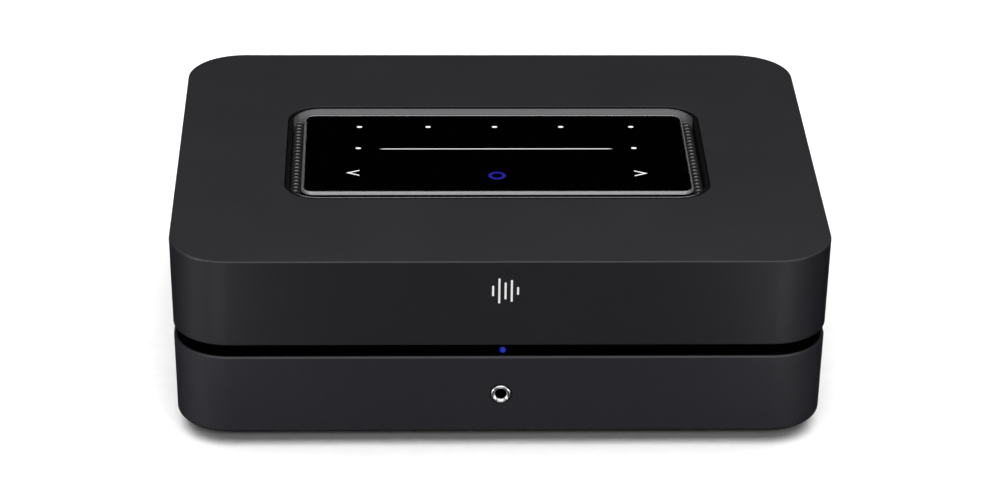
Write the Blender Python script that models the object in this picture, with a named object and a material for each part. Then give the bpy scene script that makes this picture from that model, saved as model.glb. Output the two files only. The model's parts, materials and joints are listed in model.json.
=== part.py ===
"""Compact desktop streaming amplifier, modelled in Blender as the separate pieces it is assembled from.

Frame: metres, +Z up, the front faces -Y. The origin is on the surface that the feet stand on, under the
middle of the overall box, which is the case plus the speaker posts that stand out behind it.
"""
import math

import bmesh
import bpy

MM = 0.001
GAP = 0.3 * MM  # clearance between pieces that touch on the real object

# Overall sizes
WIDTH = 220 * MM
CASE_DEPTH = 170 * MM
OVERALL_DEPTH = 190 * MM
HEIGHT = 70 * MM
CASE_Y = (CASE_DEPTH - OVERALL_DEPTH) / 2
FRONT_Y = CASE_Y - CASE_DEPTH / 2
REAR_Y = CASE_Y + CASE_DEPTH / 2

# Case: two shells with a dark slot between them; all sides lean in slightly towards the bottom
CORNER_RADIUS = 20 * MM
CORNER_STEPS = 8
DRAFT = 0.021
WALL = 3 * MM
TOP_WALL = 3 * MM
TOP_EDGE = 0.6 * MM
RIM_EDGE = 0.4 * MM
LIP_WIDTH = 1 * MM
LIP_HEIGHT = 0.9 * MM
UPPER_RIM_Z = 38.8 * MM
LOWER_RIM_Z = 34.3 * MM
BASE_Z = 5.4 * MM
BASE_EDGE = 1.5 * MM
FLOOR_Z = BASE_Z + 3 * MM
INTAKE_SLOTS = 9
INTAKE_PITCH = 9 * MM
EDGE_STEPS = 3
SLOT_DEPTH = 3.5 * MM
WAIST_LOW_Z = 29.5 * MM
WAIST_HIGH_Z = 43.9 * MM
WAIST_THICK = 3 * MM

# Well in the top and the control panel that floats in it
WELL_WIDTH = 142.4 * MM
WELL_DEPTH = 72.5 * MM
WELL_RADIUS = 10 * MM
WELL_Y = CASE_Y + 0.35 * MM
WELL_EDGE = 0.4 * MM
TRIM_THICK = 1.3 * MM
TRIM_EDGE = 0.2 * MM
COLLAR_Z = 63.5 * MM
COLLAR_WALL = 3.2 * MM
TRAY_THICK = 2 * MM
GLASS_WIDTH = 132.2 * MM
GLASS_DEPTH = 61.7 * MM
GLASS_RADIUS = 3.2 * MM
GLASS_Y = CASE_Y - 0.6 * MM
GLASS_THICK = 1.1 * MM
BEZEL_CHAMFER = 0.7 * MM
BEZEL_FALL = 1 * MM
BEZEL_LEDGE = 2 * MM
VENT_SLOTS = 24
VENT_PITCH = 2.67 * MM
VENT_BAR = 1.1 * MM
VENT_WIDTH = 3.6 * MM
VENT_RIM = 0.4 * MM
VENT_THICK = 3.3 * MM

# Front
LIGHT_PIPE_RADIUS = 1.2 * MM
LIGHT_PIPE_X = 0.6 * MM
LIGHT_PIPE_Z = 35.1 * MM
JACK_Z = 20.2 * MM
JACK_RING_RADIUS = 3.3 * MM
JACK_BORE_RADIUS = 1.8 * MM
JACK_PROUD = 0.6 * MM

# Rear panel and its opening
OPENING_HALF = 82 * MM
OPENING_LOW_Z = 10.4 * MM
OPENING_HIGH_Z = 61 * MM
PANEL_Y = REAR_Y - 5 * MM
PANEL_THICK = 1.5 * MM
UPPER_ROW_Z = 47 * MM
LOWER_ROW_Z = 23 * MM

# Speaker posts
POST_XS = [x * MM for x in (-69, -50, -31, -12)]
POST_NAMES = ("right_minus", "right_plus", "left_minus", "left_plus")
STUD_RADIUS = 2.5 * MM
POST_BORE = STUD_RADIUS + GAP
KNOB_RADIUS = 6.5 * MM
BLOCK_THICK = 3 * MM
BLOCK_COLLAR = 2 * MM
WASHER_THICK = 1.4 * MM
PLUG_RADIUS = 2 * MM
POST_END_Y = OVERALL_DEPTH / 2

# Sockets in the lower row, mounted on the main board
BOARD_Z = 14 * MM
BOARD_THICK = 1.6 * MM
SOCKET_Z = BOARD_Z + BOARD_THICK + GAP
AUDIO_SOCKETS = (("sub_out", -66 * MM, "black_plastic"),
                 ("line_out_left", -50 * MM, "white_plastic"),
                 ("line_out_right", -34 * MM, "red_plastic"))
OPTICAL_X = -12 * MM
USB_X = 10 * MM
ETHERNET_X = 36 * MM
MAINS_X = 54 * MM
MAINS_PIN_SPACING = 8.6 * MM

# Inside
POWER_BOARD_Z = 31 * MM
SINK_X = -50 * MM
SINK_CHANNELS = 8
SINK_PITCH = 7.6 * MM
TRANSFORMER_X = 38 * MM
CAPACITOR_XS = (66 * MM, 84 * MM)
CAPACITOR_RADIUS = 8 * MM
CAPACITOR_HEIGHT = 25 * MM
FOOT_X = 84 * MM
FOOT_Y = 62 * MM
FOOT_RADIUS = 10 * MM
SCREW_X = 93 * MM
SCREW_Y = 48 * MM
SCREW_HEAD_RADIUS = 3.2 * MM
SCREW_SHANK_RADIUS = 1.5 * MM

MATERIALS = {
    "case": ((0.030, 0.030, 0.034), 0.42, 0.6),
    "black_plastic": ((0.012, 0.012, 0.013), 0.5, 0.0),
    "panel_glass": ((0.002, 0.002, 0.002), 0.05, 0.0),
    "bezel_metal": ((0.42, 0.42, 0.44), 0.3, 1.0),
    "light_guide": ((0.8, 0.8, 0.8), 0.4, 0.0),
    "status_light": ((0.03, 0.03, 0.9), 0.3, 0.0),
    "bright_metal": ((0.75, 0.75, 0.76), 0.15, 1.0),
    "gold_metal": ((0.80, 0.60, 0.25), 0.22, 1.0),
    "foot_rubber": ((0.015, 0.015, 0.015), 0.85, 0.0),
    "rear_steel": ((0.018, 0.018, 0.019), 0.55, 0.2),
    "screw_steel": ((0.10, 0.10, 0.10), 0.35, 1.0),
    "red_plastic": ((0.45, 0.02, 0.02), 0.4, 0.0),
    "white_plastic": ((0.75, 0.75, 0.73), 0.4, 0.0),
    "board": ((0.01, 0.09, 0.04), 0.45, 0.0),
    "sink_metal": ((0.45, 0.45, 0.46), 0.4, 1.0),
    "coil_tape": ((0.55, 0.42, 0.05), 0.5, 0.0),
    "capacitor_sleeve": ((0.02, 0.03, 0.08), 0.35, 0.0),
}


# ---------------------------------------------------------------- helpers

def material(slot):
    """The Principled material of a slot, made once."""
    found = bpy.data.materials.get(slot)
    if found:
        return found
    colour, roughness, metallic = MATERIALS[slot]
    made = bpy.data.materials.new(slot)
    made.use_nodes = True
    shader = made.node_tree.nodes["Principled BSDF"]
    shader.inputs["Base Color"].default_value = (*colour, 1.0)
    shader.inputs["Roughness"].default_value = roughness
    shader.inputs["Metallic"].default_value = metallic
    return made


def rounded_loop(half_x, half_y, radius, z, centre=(0.0, CASE_Y), steps=CORNER_STEPS):
    """A rounded rectangle at height z, counter-clockwise from its +X side."""
    points = []
    for corner, (side_x, side_y) in enumerate(((1, 1), (-1, 1), (-1, -1), (1, -1))):
        for step in range(steps + 1):
            angle = math.pi / 2 * (corner + step / steps)
            points.append((centre[0] + side_x * (half_x - radius) + radius * math.cos(angle),
                           centre[1] + side_y * (half_y - radius) + radius * math.sin(angle), z))
    return points


def case_loop(z, inset):
    """The case's outline at height z, moved in from the leaning outer surface."""
    lean = DRAFT * (HEIGHT - z)
    return rounded_loop(WIDTH / 2 - lean - inset, CASE_DEPTH / 2 - lean - inset,
                        CORNER_RADIUS - lean - inset, z)


def well_loop(z, grow):
    """The outline of the well in the top, made larger all round by grow."""
    return rounded_loop(WELL_WIDTH / 2 + grow, WELL_DEPTH / 2 + grow, WELL_RADIUS + grow, z, (0, WELL_Y))


def glass_loop(z, grow):
    """The outline of the control glass, made larger all round by grow."""
    return rounded_loop(GLASS_WIDTH / 2 + grow, GLASS_DEPTH / 2 + grow, GLASS_RADIUS + grow, z,
                        (0, GLASS_Y))


def circle_loop(centre, radius, axis, steps):
    """A circle about an axis that runs along Y or Z through centre."""
    points = []
    for step in range(steps):
        across = radius * math.cos(2 * math.pi * step / steps)
        up = radius * math.sin(2 * math.pi * step / steps)
        offset = (across, 0.0, up) if axis == "Y" else (across, up, 0.0)
        points.append(tuple(c + o for c, o in zip(centre, offset)))
    return points


def quarter_steps():
    """Sine and cosine pairs through a quarter turn, for rounded edges."""
    angles = [math.pi / 2 * step / EDGE_STEPS for step in range(EDGE_STEPS + 1)]
    return [(math.sin(angle), math.cos(angle)) for angle in angles]


def add_object(name, mesh, slot, origin=(0.0, 0.0, 0.0)):
    """Links an object whose mesh is in world coordinates, with its origin moved to the given point."""
    for vertex in mesh.vertices:
        vertex.co = [c - o for c, o in zip(vertex.co, origin)]
    mesh.shade_smooth()
    mesh.set_sharp_from_angle(angle=math.radians(30))
    made = bpy.data.objects.new(name, mesh)
    made.location = origin
    bpy.context.scene.collection.objects.link(made)
    if slot:
        mesh.materials.append(material(slot))
    return made


def mesh_from(name, shape):
    """A mesh made from a bmesh, with every face pointing out."""
    bmesh.ops.recalc_face_normals(shape, faces=shape.faces)
    if shape.calc_volume(signed=True) < 0:
        bmesh.ops.reverse_faces(shape, faces=shape.faces)
    mesh = bpy.data.meshes.new(name)
    shape.to_mesh(mesh)
    shape.free()
    return mesh


def skin(name, loops, slot, closed=False, origin=(0.0, 0.0, 0.0)):
    """Skins a row of equal loops: capped at both ends, or joined end to end when closed."""
    shape = bmesh.new()
    rings = [[shape.verts.new(point) for point in loop] for loop in loops]
    count = len(rings[0])
    pairs = list(zip(rings, rings[1:]))
    if closed:
        pairs.append((rings[-1], rings[0]))
    for lower, upper in pairs:
        for i in range(count):
            j = (i + 1) % count
            shape.faces.new((lower[i], lower[j], upper[j], upper[i]))
    if not closed:
        shape.faces.new(list(reversed(rings[0])))
        shape.faces.new(rings[-1])
    return add_object(name, mesh_from(name, shape), slot, origin)


def turned(name, centre, profile, axis, slot, closed=False, steps=20, origin=(0.0, 0.0, 0.0)):
    """A turned piece: profile is a row of (radius, position along the axis) through centre."""
    along = 1 if axis == "Y" else 2
    loops = []
    for radius, position in profile:
        middle = list(centre)
        middle[along] = position
        loops.append(circle_loop(middle, radius, axis, steps))
    return skin(name, loops, slot, closed, origin)


def blocks(name, boxes, slot, origin=(0.0, 0.0, 0.0)):
    """One mesh of boxes, each given by its lowest and highest corner."""
    shape = bmesh.new()
    for low, high in boxes:
        corners = [shape.verts.new((x, y, z))
                   for z in (low[2], high[2]) for y in (low[1], high[1]) for x in (low[0], high[0])]
        for face in ((0, 1, 3, 2), (4, 5, 7, 6), (0, 1, 5, 4), (2, 3, 7, 6), (0, 2, 6, 4), (1, 3, 7, 5)):
            shape.faces.new([corners[i] for i in face])
    return add_object(name, mesh_from(name, shape), slot, origin)


def block(name, low, high, slot, origin=(0.0, 0.0, 0.0)):
    """A plain box between two corners."""
    return blocks(name, [(low, high)], slot, origin)


def around(x, half_x, low_y, high_y, low_z, high_z):
    """The two corners of a box centred on x."""
    return (x - half_x, low_y, low_z), (x + half_x, high_y, high_z)


def combine(target, tool, operation="DIFFERENCE"):
    """Cuts the tool out of the target, or joins it to it, and hides the tool."""
    modifier = target.modifiers.new(tool.name, "BOOLEAN")
    modifier.operation = operation
    modifier.solver = "EXACT"
    modifier.object = tool
    tool.hide_render = True
    tool.display_type = "WIRE"


def soften(target, width, segments=1):
    """Bevels the sharp edges of a simple piece."""
    modifier = target.modifiers.new("soft_edges", "BEVEL")
    modifier.width = width
    modifier.segments = segments
    modifier.limit_method = "ANGLE"
    modifier.angle_limit = math.radians(40)


# ---------------------------------------------------------------- case

def cut_rear_opening(target, low_z, high_z):
    """Cuts the window for the rear panel out of a shell's rear wall."""
    depth = 8 * MM
    combine(target, block(f"cut_{target.name}_rear", (-OPENING_HALF, REAR_Y - depth, low_z),
                          (OPENING_HALF, REAR_Y + depth, high_z), None))


def upper_case():
    """Upper shell: sides, flat top and a well with a short collar, all one wall."""
    loops = [case_loop(UPPER_RIM_Z, RIM_EDGE), case_loop(UPPER_RIM_Z + RIM_EDGE, 0)]
    loops += [case_loop(HEIGHT - TOP_EDGE + TOP_EDGE * sin, TOP_EDGE - TOP_EDGE * cos)
              for sin, cos in quarter_steps()]
    wall = TRIM_THICK + GAP
    loops += [well_loop(HEIGHT - WELL_EDGE + WELL_EDGE * cos, wall + WELL_EDGE - WELL_EDGE * sin)
              for sin, cos in quarter_steps()]
    loops += [well_loop(COLLAR_Z, wall),
              well_loop(COLLAR_Z, COLLAR_WALL),
              well_loop(HEIGHT - TOP_WALL, COLLAR_WALL),
              case_loop(HEIGHT - TOP_WALL, WALL),
              case_loop(UPPER_RIM_Z, WALL)]
    shell = skin("upper_case", loops, "case", closed=True)
    cut_rear_opening(shell, UPPER_RIM_Z - 10 * MM, OPENING_HIGH_Z)


def lower_case():
    """Lower shell: an open tub with a rounded bottom edge, board pillars and air intake slots."""
    loops = [case_loop(BASE_Z + BASE_EDGE - BASE_EDGE * cos, BASE_EDGE - BASE_EDGE * sin)
             for sin, cos in quarter_steps()]
    loops += [case_loop(LOWER_RIM_Z - RIM_EDGE, 0),
              case_loop(LOWER_RIM_Z, RIM_EDGE),
              case_loop(LOWER_RIM_Z, LIP_WIDTH),
              case_loop(LOWER_RIM_Z - LIP_HEIGHT, LIP_WIDTH),
              case_loop(LOWER_RIM_Z - LIP_HEIGHT, WALL),
              case_loop(FLOOR_Z, WALL)]
    shell = skin("lower_case", loops, "case")
    sunk = 0.5 * MM
    for side_x in (-1, 1):
        for side_y in (-1, 1):
            tag = f"{side_x:+d}{side_y:+d}"
            pillar = (side_x * SCREW_X, CASE_Y + side_y * SCREW_Y, 0)
            combine(shell, turned(f"join_tall_pillar{tag}", pillar,
                                  [(4.5 * MM, FLOOR_Z - sunk), (4.5 * MM, POWER_BOARD_Z - GAP)],
                                  "Z", None, steps=12), "UNION")
            short = (side_x * 66 * MM, CASE_Y + side_y * 52 * MM, 0)
            combine(shell, turned(f"join_short_pillar{tag}", short,
                                  [(3 * MM, FLOOR_Z - sunk), (3 * MM, BOARD_Z - GAP)],
                                  "Z", None, steps=10), "UNION")
            combine(shell, turned(f"cut_screw{tag}", pillar,
                                  [(SCREW_HEAD_RADIUS + GAP, BASE_Z - sunk),
                                   (SCREW_HEAD_RADIUS + GAP, FLOOR_Z),
                                   (SCREW_SHANK_RADIUS + GAP, FLOOR_Z),
                                   (SCREW_SHANK_RADIUS + GAP, POWER_BOARD_Z)], "Z", None, steps=12))
    cut_rear_opening(shell, OPENING_LOW_Z, LOWER_RIM_Z + 10 * MM)
    jack_hole = [(JACK_RING_RADIUS + GAP, FRONT_Y - WALL), (JACK_RING_RADIUS + GAP, FRONT_Y + 3 * WALL)]
    combine(shell, turned("cut_jack_hole", (0, 0, JACK_Z), jack_hole, "Y", None, steps=24))
    slots = []
    for index in range(INTAKE_SLOTS):
        x = (index - (INTAKE_SLOTS - 1) / 2) * INTAKE_PITCH
        slots.append(around(x, 1.6 * MM, CASE_Y - 22 * MM, CASE_Y + 22 * MM, BASE_Z - 1 * MM,
                            FLOOR_Z + 1 * MM))
    combine(shell, blocks("cut_intake_slots", slots, None))


def waist_frame():
    """Dark inner band seen in the slot; a thin flange on it lies on the lower shell's rim."""
    low = WAIST_LOW_Z
    high = WAIST_HIGH_Z
    flange_top = LOWER_RIM_Z - 0.15 * MM
    flange_low = LOWER_RIM_Z - LIP_HEIGHT + GAP
    flange = LIP_WIDTH + GAP
    inner = SLOT_DEPTH + WAIST_THICK
    section = [(low, inner), (low, SLOT_DEPTH), (flange_low, SLOT_DEPTH), (flange_low, flange),
               (flange_top, flange), (flange_top, SLOT_DEPTH), (high, SLOT_DEPTH), (high, inner)]
    frame = skin("waist_frame", [case_loop(z, inset) for z, inset in section], "black_plastic", closed=True)
    combine(frame, block("cut_waist_rear", (-OPENING_HALF - 4 * MM, REAR_Y - 16 * MM, 25 * MM),
                         (OPENING_HALF + 4 * MM, REAR_Y + 5 * MM, 50 * MM), None))
    hole = [(LIGHT_PIPE_RADIUS + GAP, FRONT_Y), (LIGHT_PIPE_RADIUS + GAP, FRONT_Y + 15 * MM)]
    combine(frame, turned("cut_light_hole", (LIGHT_PIPE_X, 0, LIGHT_PIPE_Z), hole, "Y", None, steps=16))


def feet():
    """Four rubber feet under the lower shell."""
    edge = 1 * MM
    top = BASE_Z - GAP
    for row, side_y in (("front", -1), ("rear", 1)):
        for column, side_x in (("left", -1), ("right", 1)):
            profile = [(FOOT_RADIUS - edge, 0), (FOOT_RADIUS, edge), (FOOT_RADIUS, top)]
            turned(f"foot_{row}_{column}", (side_x * FOOT_X, CASE_Y + side_y * FOOT_Y, 0), profile, "Z",
                   "foot_rubber", steps=28)


def case_screws():
    """Four screws that hold the lower shell and the boards together, driven from below."""
    head = BASE_Z + 0.4 * MM
    neck = FLOOR_Z - GAP
    tip = POWER_BOARD_Z - 2 * MM
    for index, (side_x, side_y) in enumerate(((-1, -1), (1, -1), (1, 1), (-1, 1)), start=1):
        profile = [(SCREW_HEAD_RADIUS, head), (SCREW_HEAD_RADIUS, neck), (SCREW_SHANK_RADIUS, neck),
                   (SCREW_SHANK_RADIUS, tip)]
        turned(f"case_screw_{index}", (side_x * SCREW_X, CASE_Y + side_y * SCREW_Y, 0), profile, "Z",
               "screw_steel", steps=12)


# ---------------------------------------------------------------- control panel

def panel_tray():
    """Floor of the well, with pillars under the sensor board and a window under each vent."""
    top = COLLAR_Z - GAP
    tray = skin("panel_tray", [well_loop(top - TRAY_THICK, COLLAR_WALL), well_loop(top, COLLAR_WALL)],
                "black_plastic")
    for side_x in (-1, 1):
        for side_y in (-1, 1):
            pillar = (side_x * 52 * MM, CASE_Y + side_y * 18 * MM, 0)
            combine(tray, turned(f"join_tray_pillar{side_x:+d}{side_y:+d}", pillar,
                                 [(3 * MM, top - 1 * MM), (3 * MM, sensor_board_z() - GAP)], "Z", None,
                                 steps=10), "UNION")
        window = around(side_x * vent_x(), VENT_WIDTH / 2 - 2 * VENT_RIM, WELL_Y - 28 * MM,
                        WELL_Y + 28 * MM, top - 2 * TRAY_THICK, top + 1 * MM)
        combine(tray, block(f"cut_tray_window{side_x:+d}", *window, None))
    ribbon = around(0, 13 * MM, CASE_Y - 2 * MM, CASE_Y + 2 * MM, top - 2 * TRAY_THICK, top + 1 * MM)
    combine(tray, block("cut_tray_ribbon", *ribbon, None))


def well_trim():
    """Thin metal band that lines the well's wall, with a shadow gap round its top."""
    section = [(COLLAR_Z, TRIM_THICK), (COLLAR_Z, 0), (HEIGHT - TRIM_EDGE, 0), (HEIGHT, TRIM_EDGE),
               (HEIGHT, TRIM_THICK - TRIM_EDGE), (HEIGHT - TRIM_EDGE, TRIM_THICK)]
    skin("well_trim", [well_loop(z, grow) for z, grow in section], "bezel_metal", closed=True)


def vent_x():
    """Middle of a vent strip, between the panel's side and the well's wall."""
    return WELL_WIDTH / 2 - GAP - VENT_WIDTH / 2


def vent_grilles():
    """Two slotted vent strips, one at each end of the well; the slots run across each strip."""
    low = COLLAR_Z
    high = COLLAR_Z + VENT_THICK
    half = (VENT_SLOTS * VENT_PITCH + VENT_BAR) / 2
    slot_half = (VENT_PITCH - VENT_BAR) / 2
    for name, side in (("left", -1), ("right", 1)):
        x = side * vent_x()
        body = around(x, VENT_WIDTH / 2, WELL_Y - half, WELL_Y + half, low, high)
        strip = block(f"vent_grille_{name}", *body, "black_plastic")
        first = WELL_Y - (VENT_SLOTS - 1) / 2 * VENT_PITCH
        slots = []
        for index in range(VENT_SLOTS):
            y = first + index * VENT_PITCH
            slots.append(around(x, VENT_WIDTH / 2 - VENT_RIM, y - slot_half, y + slot_half,
                                low - VENT_THICK, high + VENT_THICK))
        combine(strip, blocks(f"cut_vent_{name}", slots, None))
        inside = [well_loop(low - MM, -GAP), well_loop(high + MM, -GAP)]
        combine(strip, skin(f"fit_vent_{name}", inside, None), "INTERSECT")


def sensor_board_z():
    """Underside of the touch sensor board."""
    return HEIGHT - GLASS_THICK - 2.6 * MM


def control_panel():
    """Black glass in a chamfered metal bezel, with its light guide and sensor board below."""
    glass_low = HEIGHT - GLASS_THICK
    skin("touch_glass", [glass_loop(glass_low, 0), glass_loop(HEIGHT, 0)], "panel_glass")
    outer = GAP + BEZEL_CHAMFER
    ledge_top = glass_low - GAP
    ledge_low = ledge_top - 0.8 * MM
    wall_low = ledge_top - 0.3 * MM
    skin("panel_bezel", [glass_loop(HEIGHT, GAP),
                         glass_loop(HEIGHT - BEZEL_FALL, outer),
                         glass_loop(wall_low, outer),
                         glass_loop(wall_low, outer - 1.2 * MM),
                         glass_loop(ledge_low, outer - 1.2 * MM),
                         glass_loop(ledge_low, -BEZEL_LEDGE),
                         glass_loop(ledge_top, -BEZEL_LEDGE),
                         glass_loop(ledge_top, GAP)], "bezel_metal", closed=True)
    inside = -BEZEL_LEDGE - GAP
    skin("icon_light_guide", [glass_loop(ledge_low, inside), glass_loop(ledge_top, inside)], "light_guide")
    low = sensor_board_z()
    skin("touch_sensor_board", [glass_loop(low, inside), glass_loop(ledge_low - GAP, inside)], "board")


# ---------------------------------------------------------------- front

def front_pieces():
    """Status light pipe in the slot, and the headphone socket with its bright ring."""
    pipe_face = FRONT_Y + DRAFT * (HEIGHT - LIGHT_PIPE_Z) + SLOT_DEPTH - 0.4 * MM
    turned("status_light_pipe", (LIGHT_PIPE_X, 0, LIGHT_PIPE_Z),
           [(LIGHT_PIPE_RADIUS * 0.7, pipe_face), (LIGHT_PIPE_RADIUS, pipe_face + 0.5 * MM),
            (LIGHT_PIPE_RADIUS, pipe_face + 12 * MM)], "Y", "status_light", steps=16)
    face = FRONT_Y + DRAFT * (HEIGHT - JACK_Z) - JACK_PROUD
    edge = 0.4 * MM
    inner = JACK_BORE_RADIUS + 0.9 * MM
    turned("headphone_ring", (0, 0, JACK_Z),
           [(JACK_RING_RADIUS - edge, face), (JACK_RING_RADIUS, face + edge),
            (JACK_RING_RADIUS, face + 5 * MM), (inner, face + 5 * MM), (inner, face + edge),
            (inner + edge, face)], "Y", "bright_metal", closed=True, steps=32)
    nose = inner - GAP
    body = block("headphone_socket", *around(0, 4.5 * MM, face + 5.5 * MM, face + 18 * MM,
                                             SOCKET_Z, SOCKET_Z + 9 * MM), "black_plastic")
    combine(body, turned("join_socket_nose", (0, 0, JACK_Z), [(nose, face + 0.5 * MM), (nose, face + 7 * MM)],
                         "Y", None, steps=20), "UNION")
    combine(body, turned("cut_socket_bore", (0, 0, JACK_Z),
                         [(JACK_BORE_RADIUS, face - 1 * MM), (JACK_BORE_RADIUS, face + 15 * MM)],
                         "Y", None, steps=20))


# ---------------------------------------------------------------- rear

def rear_panel():
    """Steel panel behind the rear window, with a hole for every socket and post."""
    panel = block("rear_panel", (-OPENING_HALF - 4 * MM, PANEL_Y - PANEL_THICK, FLOOR_Z + GAP),
                  (OPENING_HALF + 4 * MM, PANEL_Y, 64 * MM), "rear_steel")
    holes = [around(x, half + GAP, PANEL_Y - 5 * MM, PANEL_Y + 5 * MM, low - GAP, high + GAP)
             for x, half, low, high in (socket_outline("ethernet"), socket_outline("usb"),
                                        socket_outline("optical"), socket_outline("mains"))]
    combine(panel, blocks("cut_panel_sockets", holes, None))
    rounds = [(x, UPPER_ROW_Z, POST_BORE + 1 * MM) for x in POST_XS]
    rounds += [(x, LOWER_ROW_Z, 4.15 * MM + GAP) for _, x, _ in AUDIO_SOCKETS]
    for index, (x, z, radius) in enumerate(rounds):
        combine(panel, turned(f"cut_panel_round_{index}", (x, 0, z),
                              [(radius, PANEL_Y - 5 * MM), (radius, PANEL_Y + 5 * MM)], "Y", None, steps=16))


def socket_outline(name):
    """A socket housing's middle x, half width, underside and top."""
    return {"ethernet": (ETHERNET_X, 8 * MM, SOCKET_Z, SOCKET_Z + 13.5 * MM),
            "usb": (USB_X, 7.2 * MM, SOCKET_Z, SOCKET_Z + 7.2 * MM),
            "optical": (OPTICAL_X, 5 * MM, SOCKET_Z, SOCKET_Z + 10.4 * MM),
            "mains": (MAINS_X, 13.5 * MM, UPPER_ROW_Z - 8 * MM, UPPER_ROW_Z + 8 * MM)}[name]


def socket_housing(name, outline, back, face, slot):
    """A plain socket housing from inside the case to just proud of the rear panel."""
    x, half, low, high = socket_outline(outline)
    return block(name, *around(x, half, back, face, low, high), slot)


def data_sockets():
    """Network and USB sockets."""
    face = PANEL_Y + 1.2 * MM
    _, _, low, high = socket_outline("ethernet")
    network = socket_housing("ethernet_socket", "ethernet", PANEL_Y - 18 * MM, face, "bright_metal")
    combine(network, block("cut_ethernet", *around(ETHERNET_X, 5.9 * MM, face - 14 * MM, face + 2 * MM,
                                                   low + 3.2 * MM, high - 2 * MM), None))
    combine(network, block("cut_ethernet_latch", *around(ETHERNET_X, 3 * MM, face - 8 * MM, face + 2 * MM,
                                                         low + 1 * MM, low + 4 * MM), None))
    _, _, low, high = socket_outline("usb")
    usb = socket_housing("usb_socket", "usb", PANEL_Y - 14 * MM, face, "bright_metal")
    combine(usb, block("cut_usb", *around(USB_X, 6.3 * MM, face - 10 * MM, face + 2 * MM, low + 1 * MM,
                                          high - 1 * MM), None))
    combine(usb, block("join_usb_tongue", *around(USB_X, 5.3 * MM, face - 11 * MM, face - 0.8 * MM,
                                                  high - 3.4 * MM, high - 1.6 * MM), None), "UNION")


def optical_socket():
    """Optical socket, with the sprung flap that a plug pushes inwards about its top edge."""
    face = PANEL_Y + 2 * MM
    _, _, low, high = socket_outline("optical")
    half = 4 * MM
    roof = high - 1.2 * MM
    sill = roof - 2 * half
    body = socket_housing("optical_socket", "optical", PANEL_Y - 16 * MM, face, "black_plastic")
    combine(body, block("cut_optical", *around(OPTICAL_X, half, face - 11 * MM, face + 2 * MM, sill, roof),
                        None))
    axis_y = face - 1.2 * MM
    axis_z = roof - 0.8 * MM
    thick = 0.4 * MM
    flap = block("optical_flap", *around(OPTICAL_X, half - GAP, axis_y - thick, axis_y + thick, sill + GAP,
                                         axis_z + thick), "black_plastic", origin=(OPTICAL_X, axis_y, axis_z))
    soften(flap, 0.15 * MM)


def audio_sockets():
    """Phono sockets: a metal shell with an insulating core in it."""
    for name, x, slot in AUDIO_SOCKETS:
        centre = (x, 0, LOWER_ROW_Z)
        end = PANEL_Y + 9.5 * MM
        turned(f"{name}_shell", centre,
               [(4.15 * MM, PANEL_Y - 8 * MM), (4.15 * MM, PANEL_Y + GAP), (5.6 * MM, PANEL_Y + GAP),
                (5.6 * MM, PANEL_Y + 1.6 * MM), (4.15 * MM, PANEL_Y + 1.6 * MM), (4.15 * MM, end),
                (3.5 * MM, end), (3.5 * MM, PANEL_Y - 5 * MM)], "Y", "bright_metal", steps=20)
        core = PANEL_Y - 5 * MM + GAP
        turned(f"{name}_core", centre,
               [(3.2 * MM, core), (3.2 * MM, end - 0.6 * MM), (1.6 * MM, end - 0.6 * MM),
                (1.6 * MM, core + 2 * MM)], "Y", slot, steps=16)


def mains_inlet():
    """Two-pin mains inlet: a housing with a round-ended recess and its two pins."""
    _, _, low, high = socket_outline("mains")
    face = PANEL_Y + 1.5 * MM
    body = socket_housing("mains_inlet", "mains", PANEL_Y - 22 * MM, face, "black_plastic")
    half_x = 9.8 * MM
    half_z = 4.6 * MM
    recess = []
    for y in (face - 15 * MM, face + 2 * MM):
        recess.append([(x, y, z) for x, z, _ in
                       rounded_loop(half_x, half_z, half_z - 0.1 * MM, 0, (MAINS_X, UPPER_ROW_Z), 6)])
    combine(body, skin("cut_mains_recess", recess, None))
    for name, side in (("left", -1), ("right", 1)):
        centre = (MAINS_X + side * MAINS_PIN_SPACING / 2, 0, UPPER_ROW_Z)
        combine(body, turned(f"cut_mains_{name}", centre,
                             [(1.2 * MM + GAP, face - 17 * MM), (1.2 * MM + GAP, face - 14 * MM)],
                             "Y", None, steps=14))
        turned(f"mains_pin_{name}", centre,
               [(1.2 * MM, face - 16.7 * MM), (1.2 * MM, face - 4.5 * MM), (0.6 * MM, face - 3.7 * MM)],
               "Y", "bright_metal", steps=14)


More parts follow.
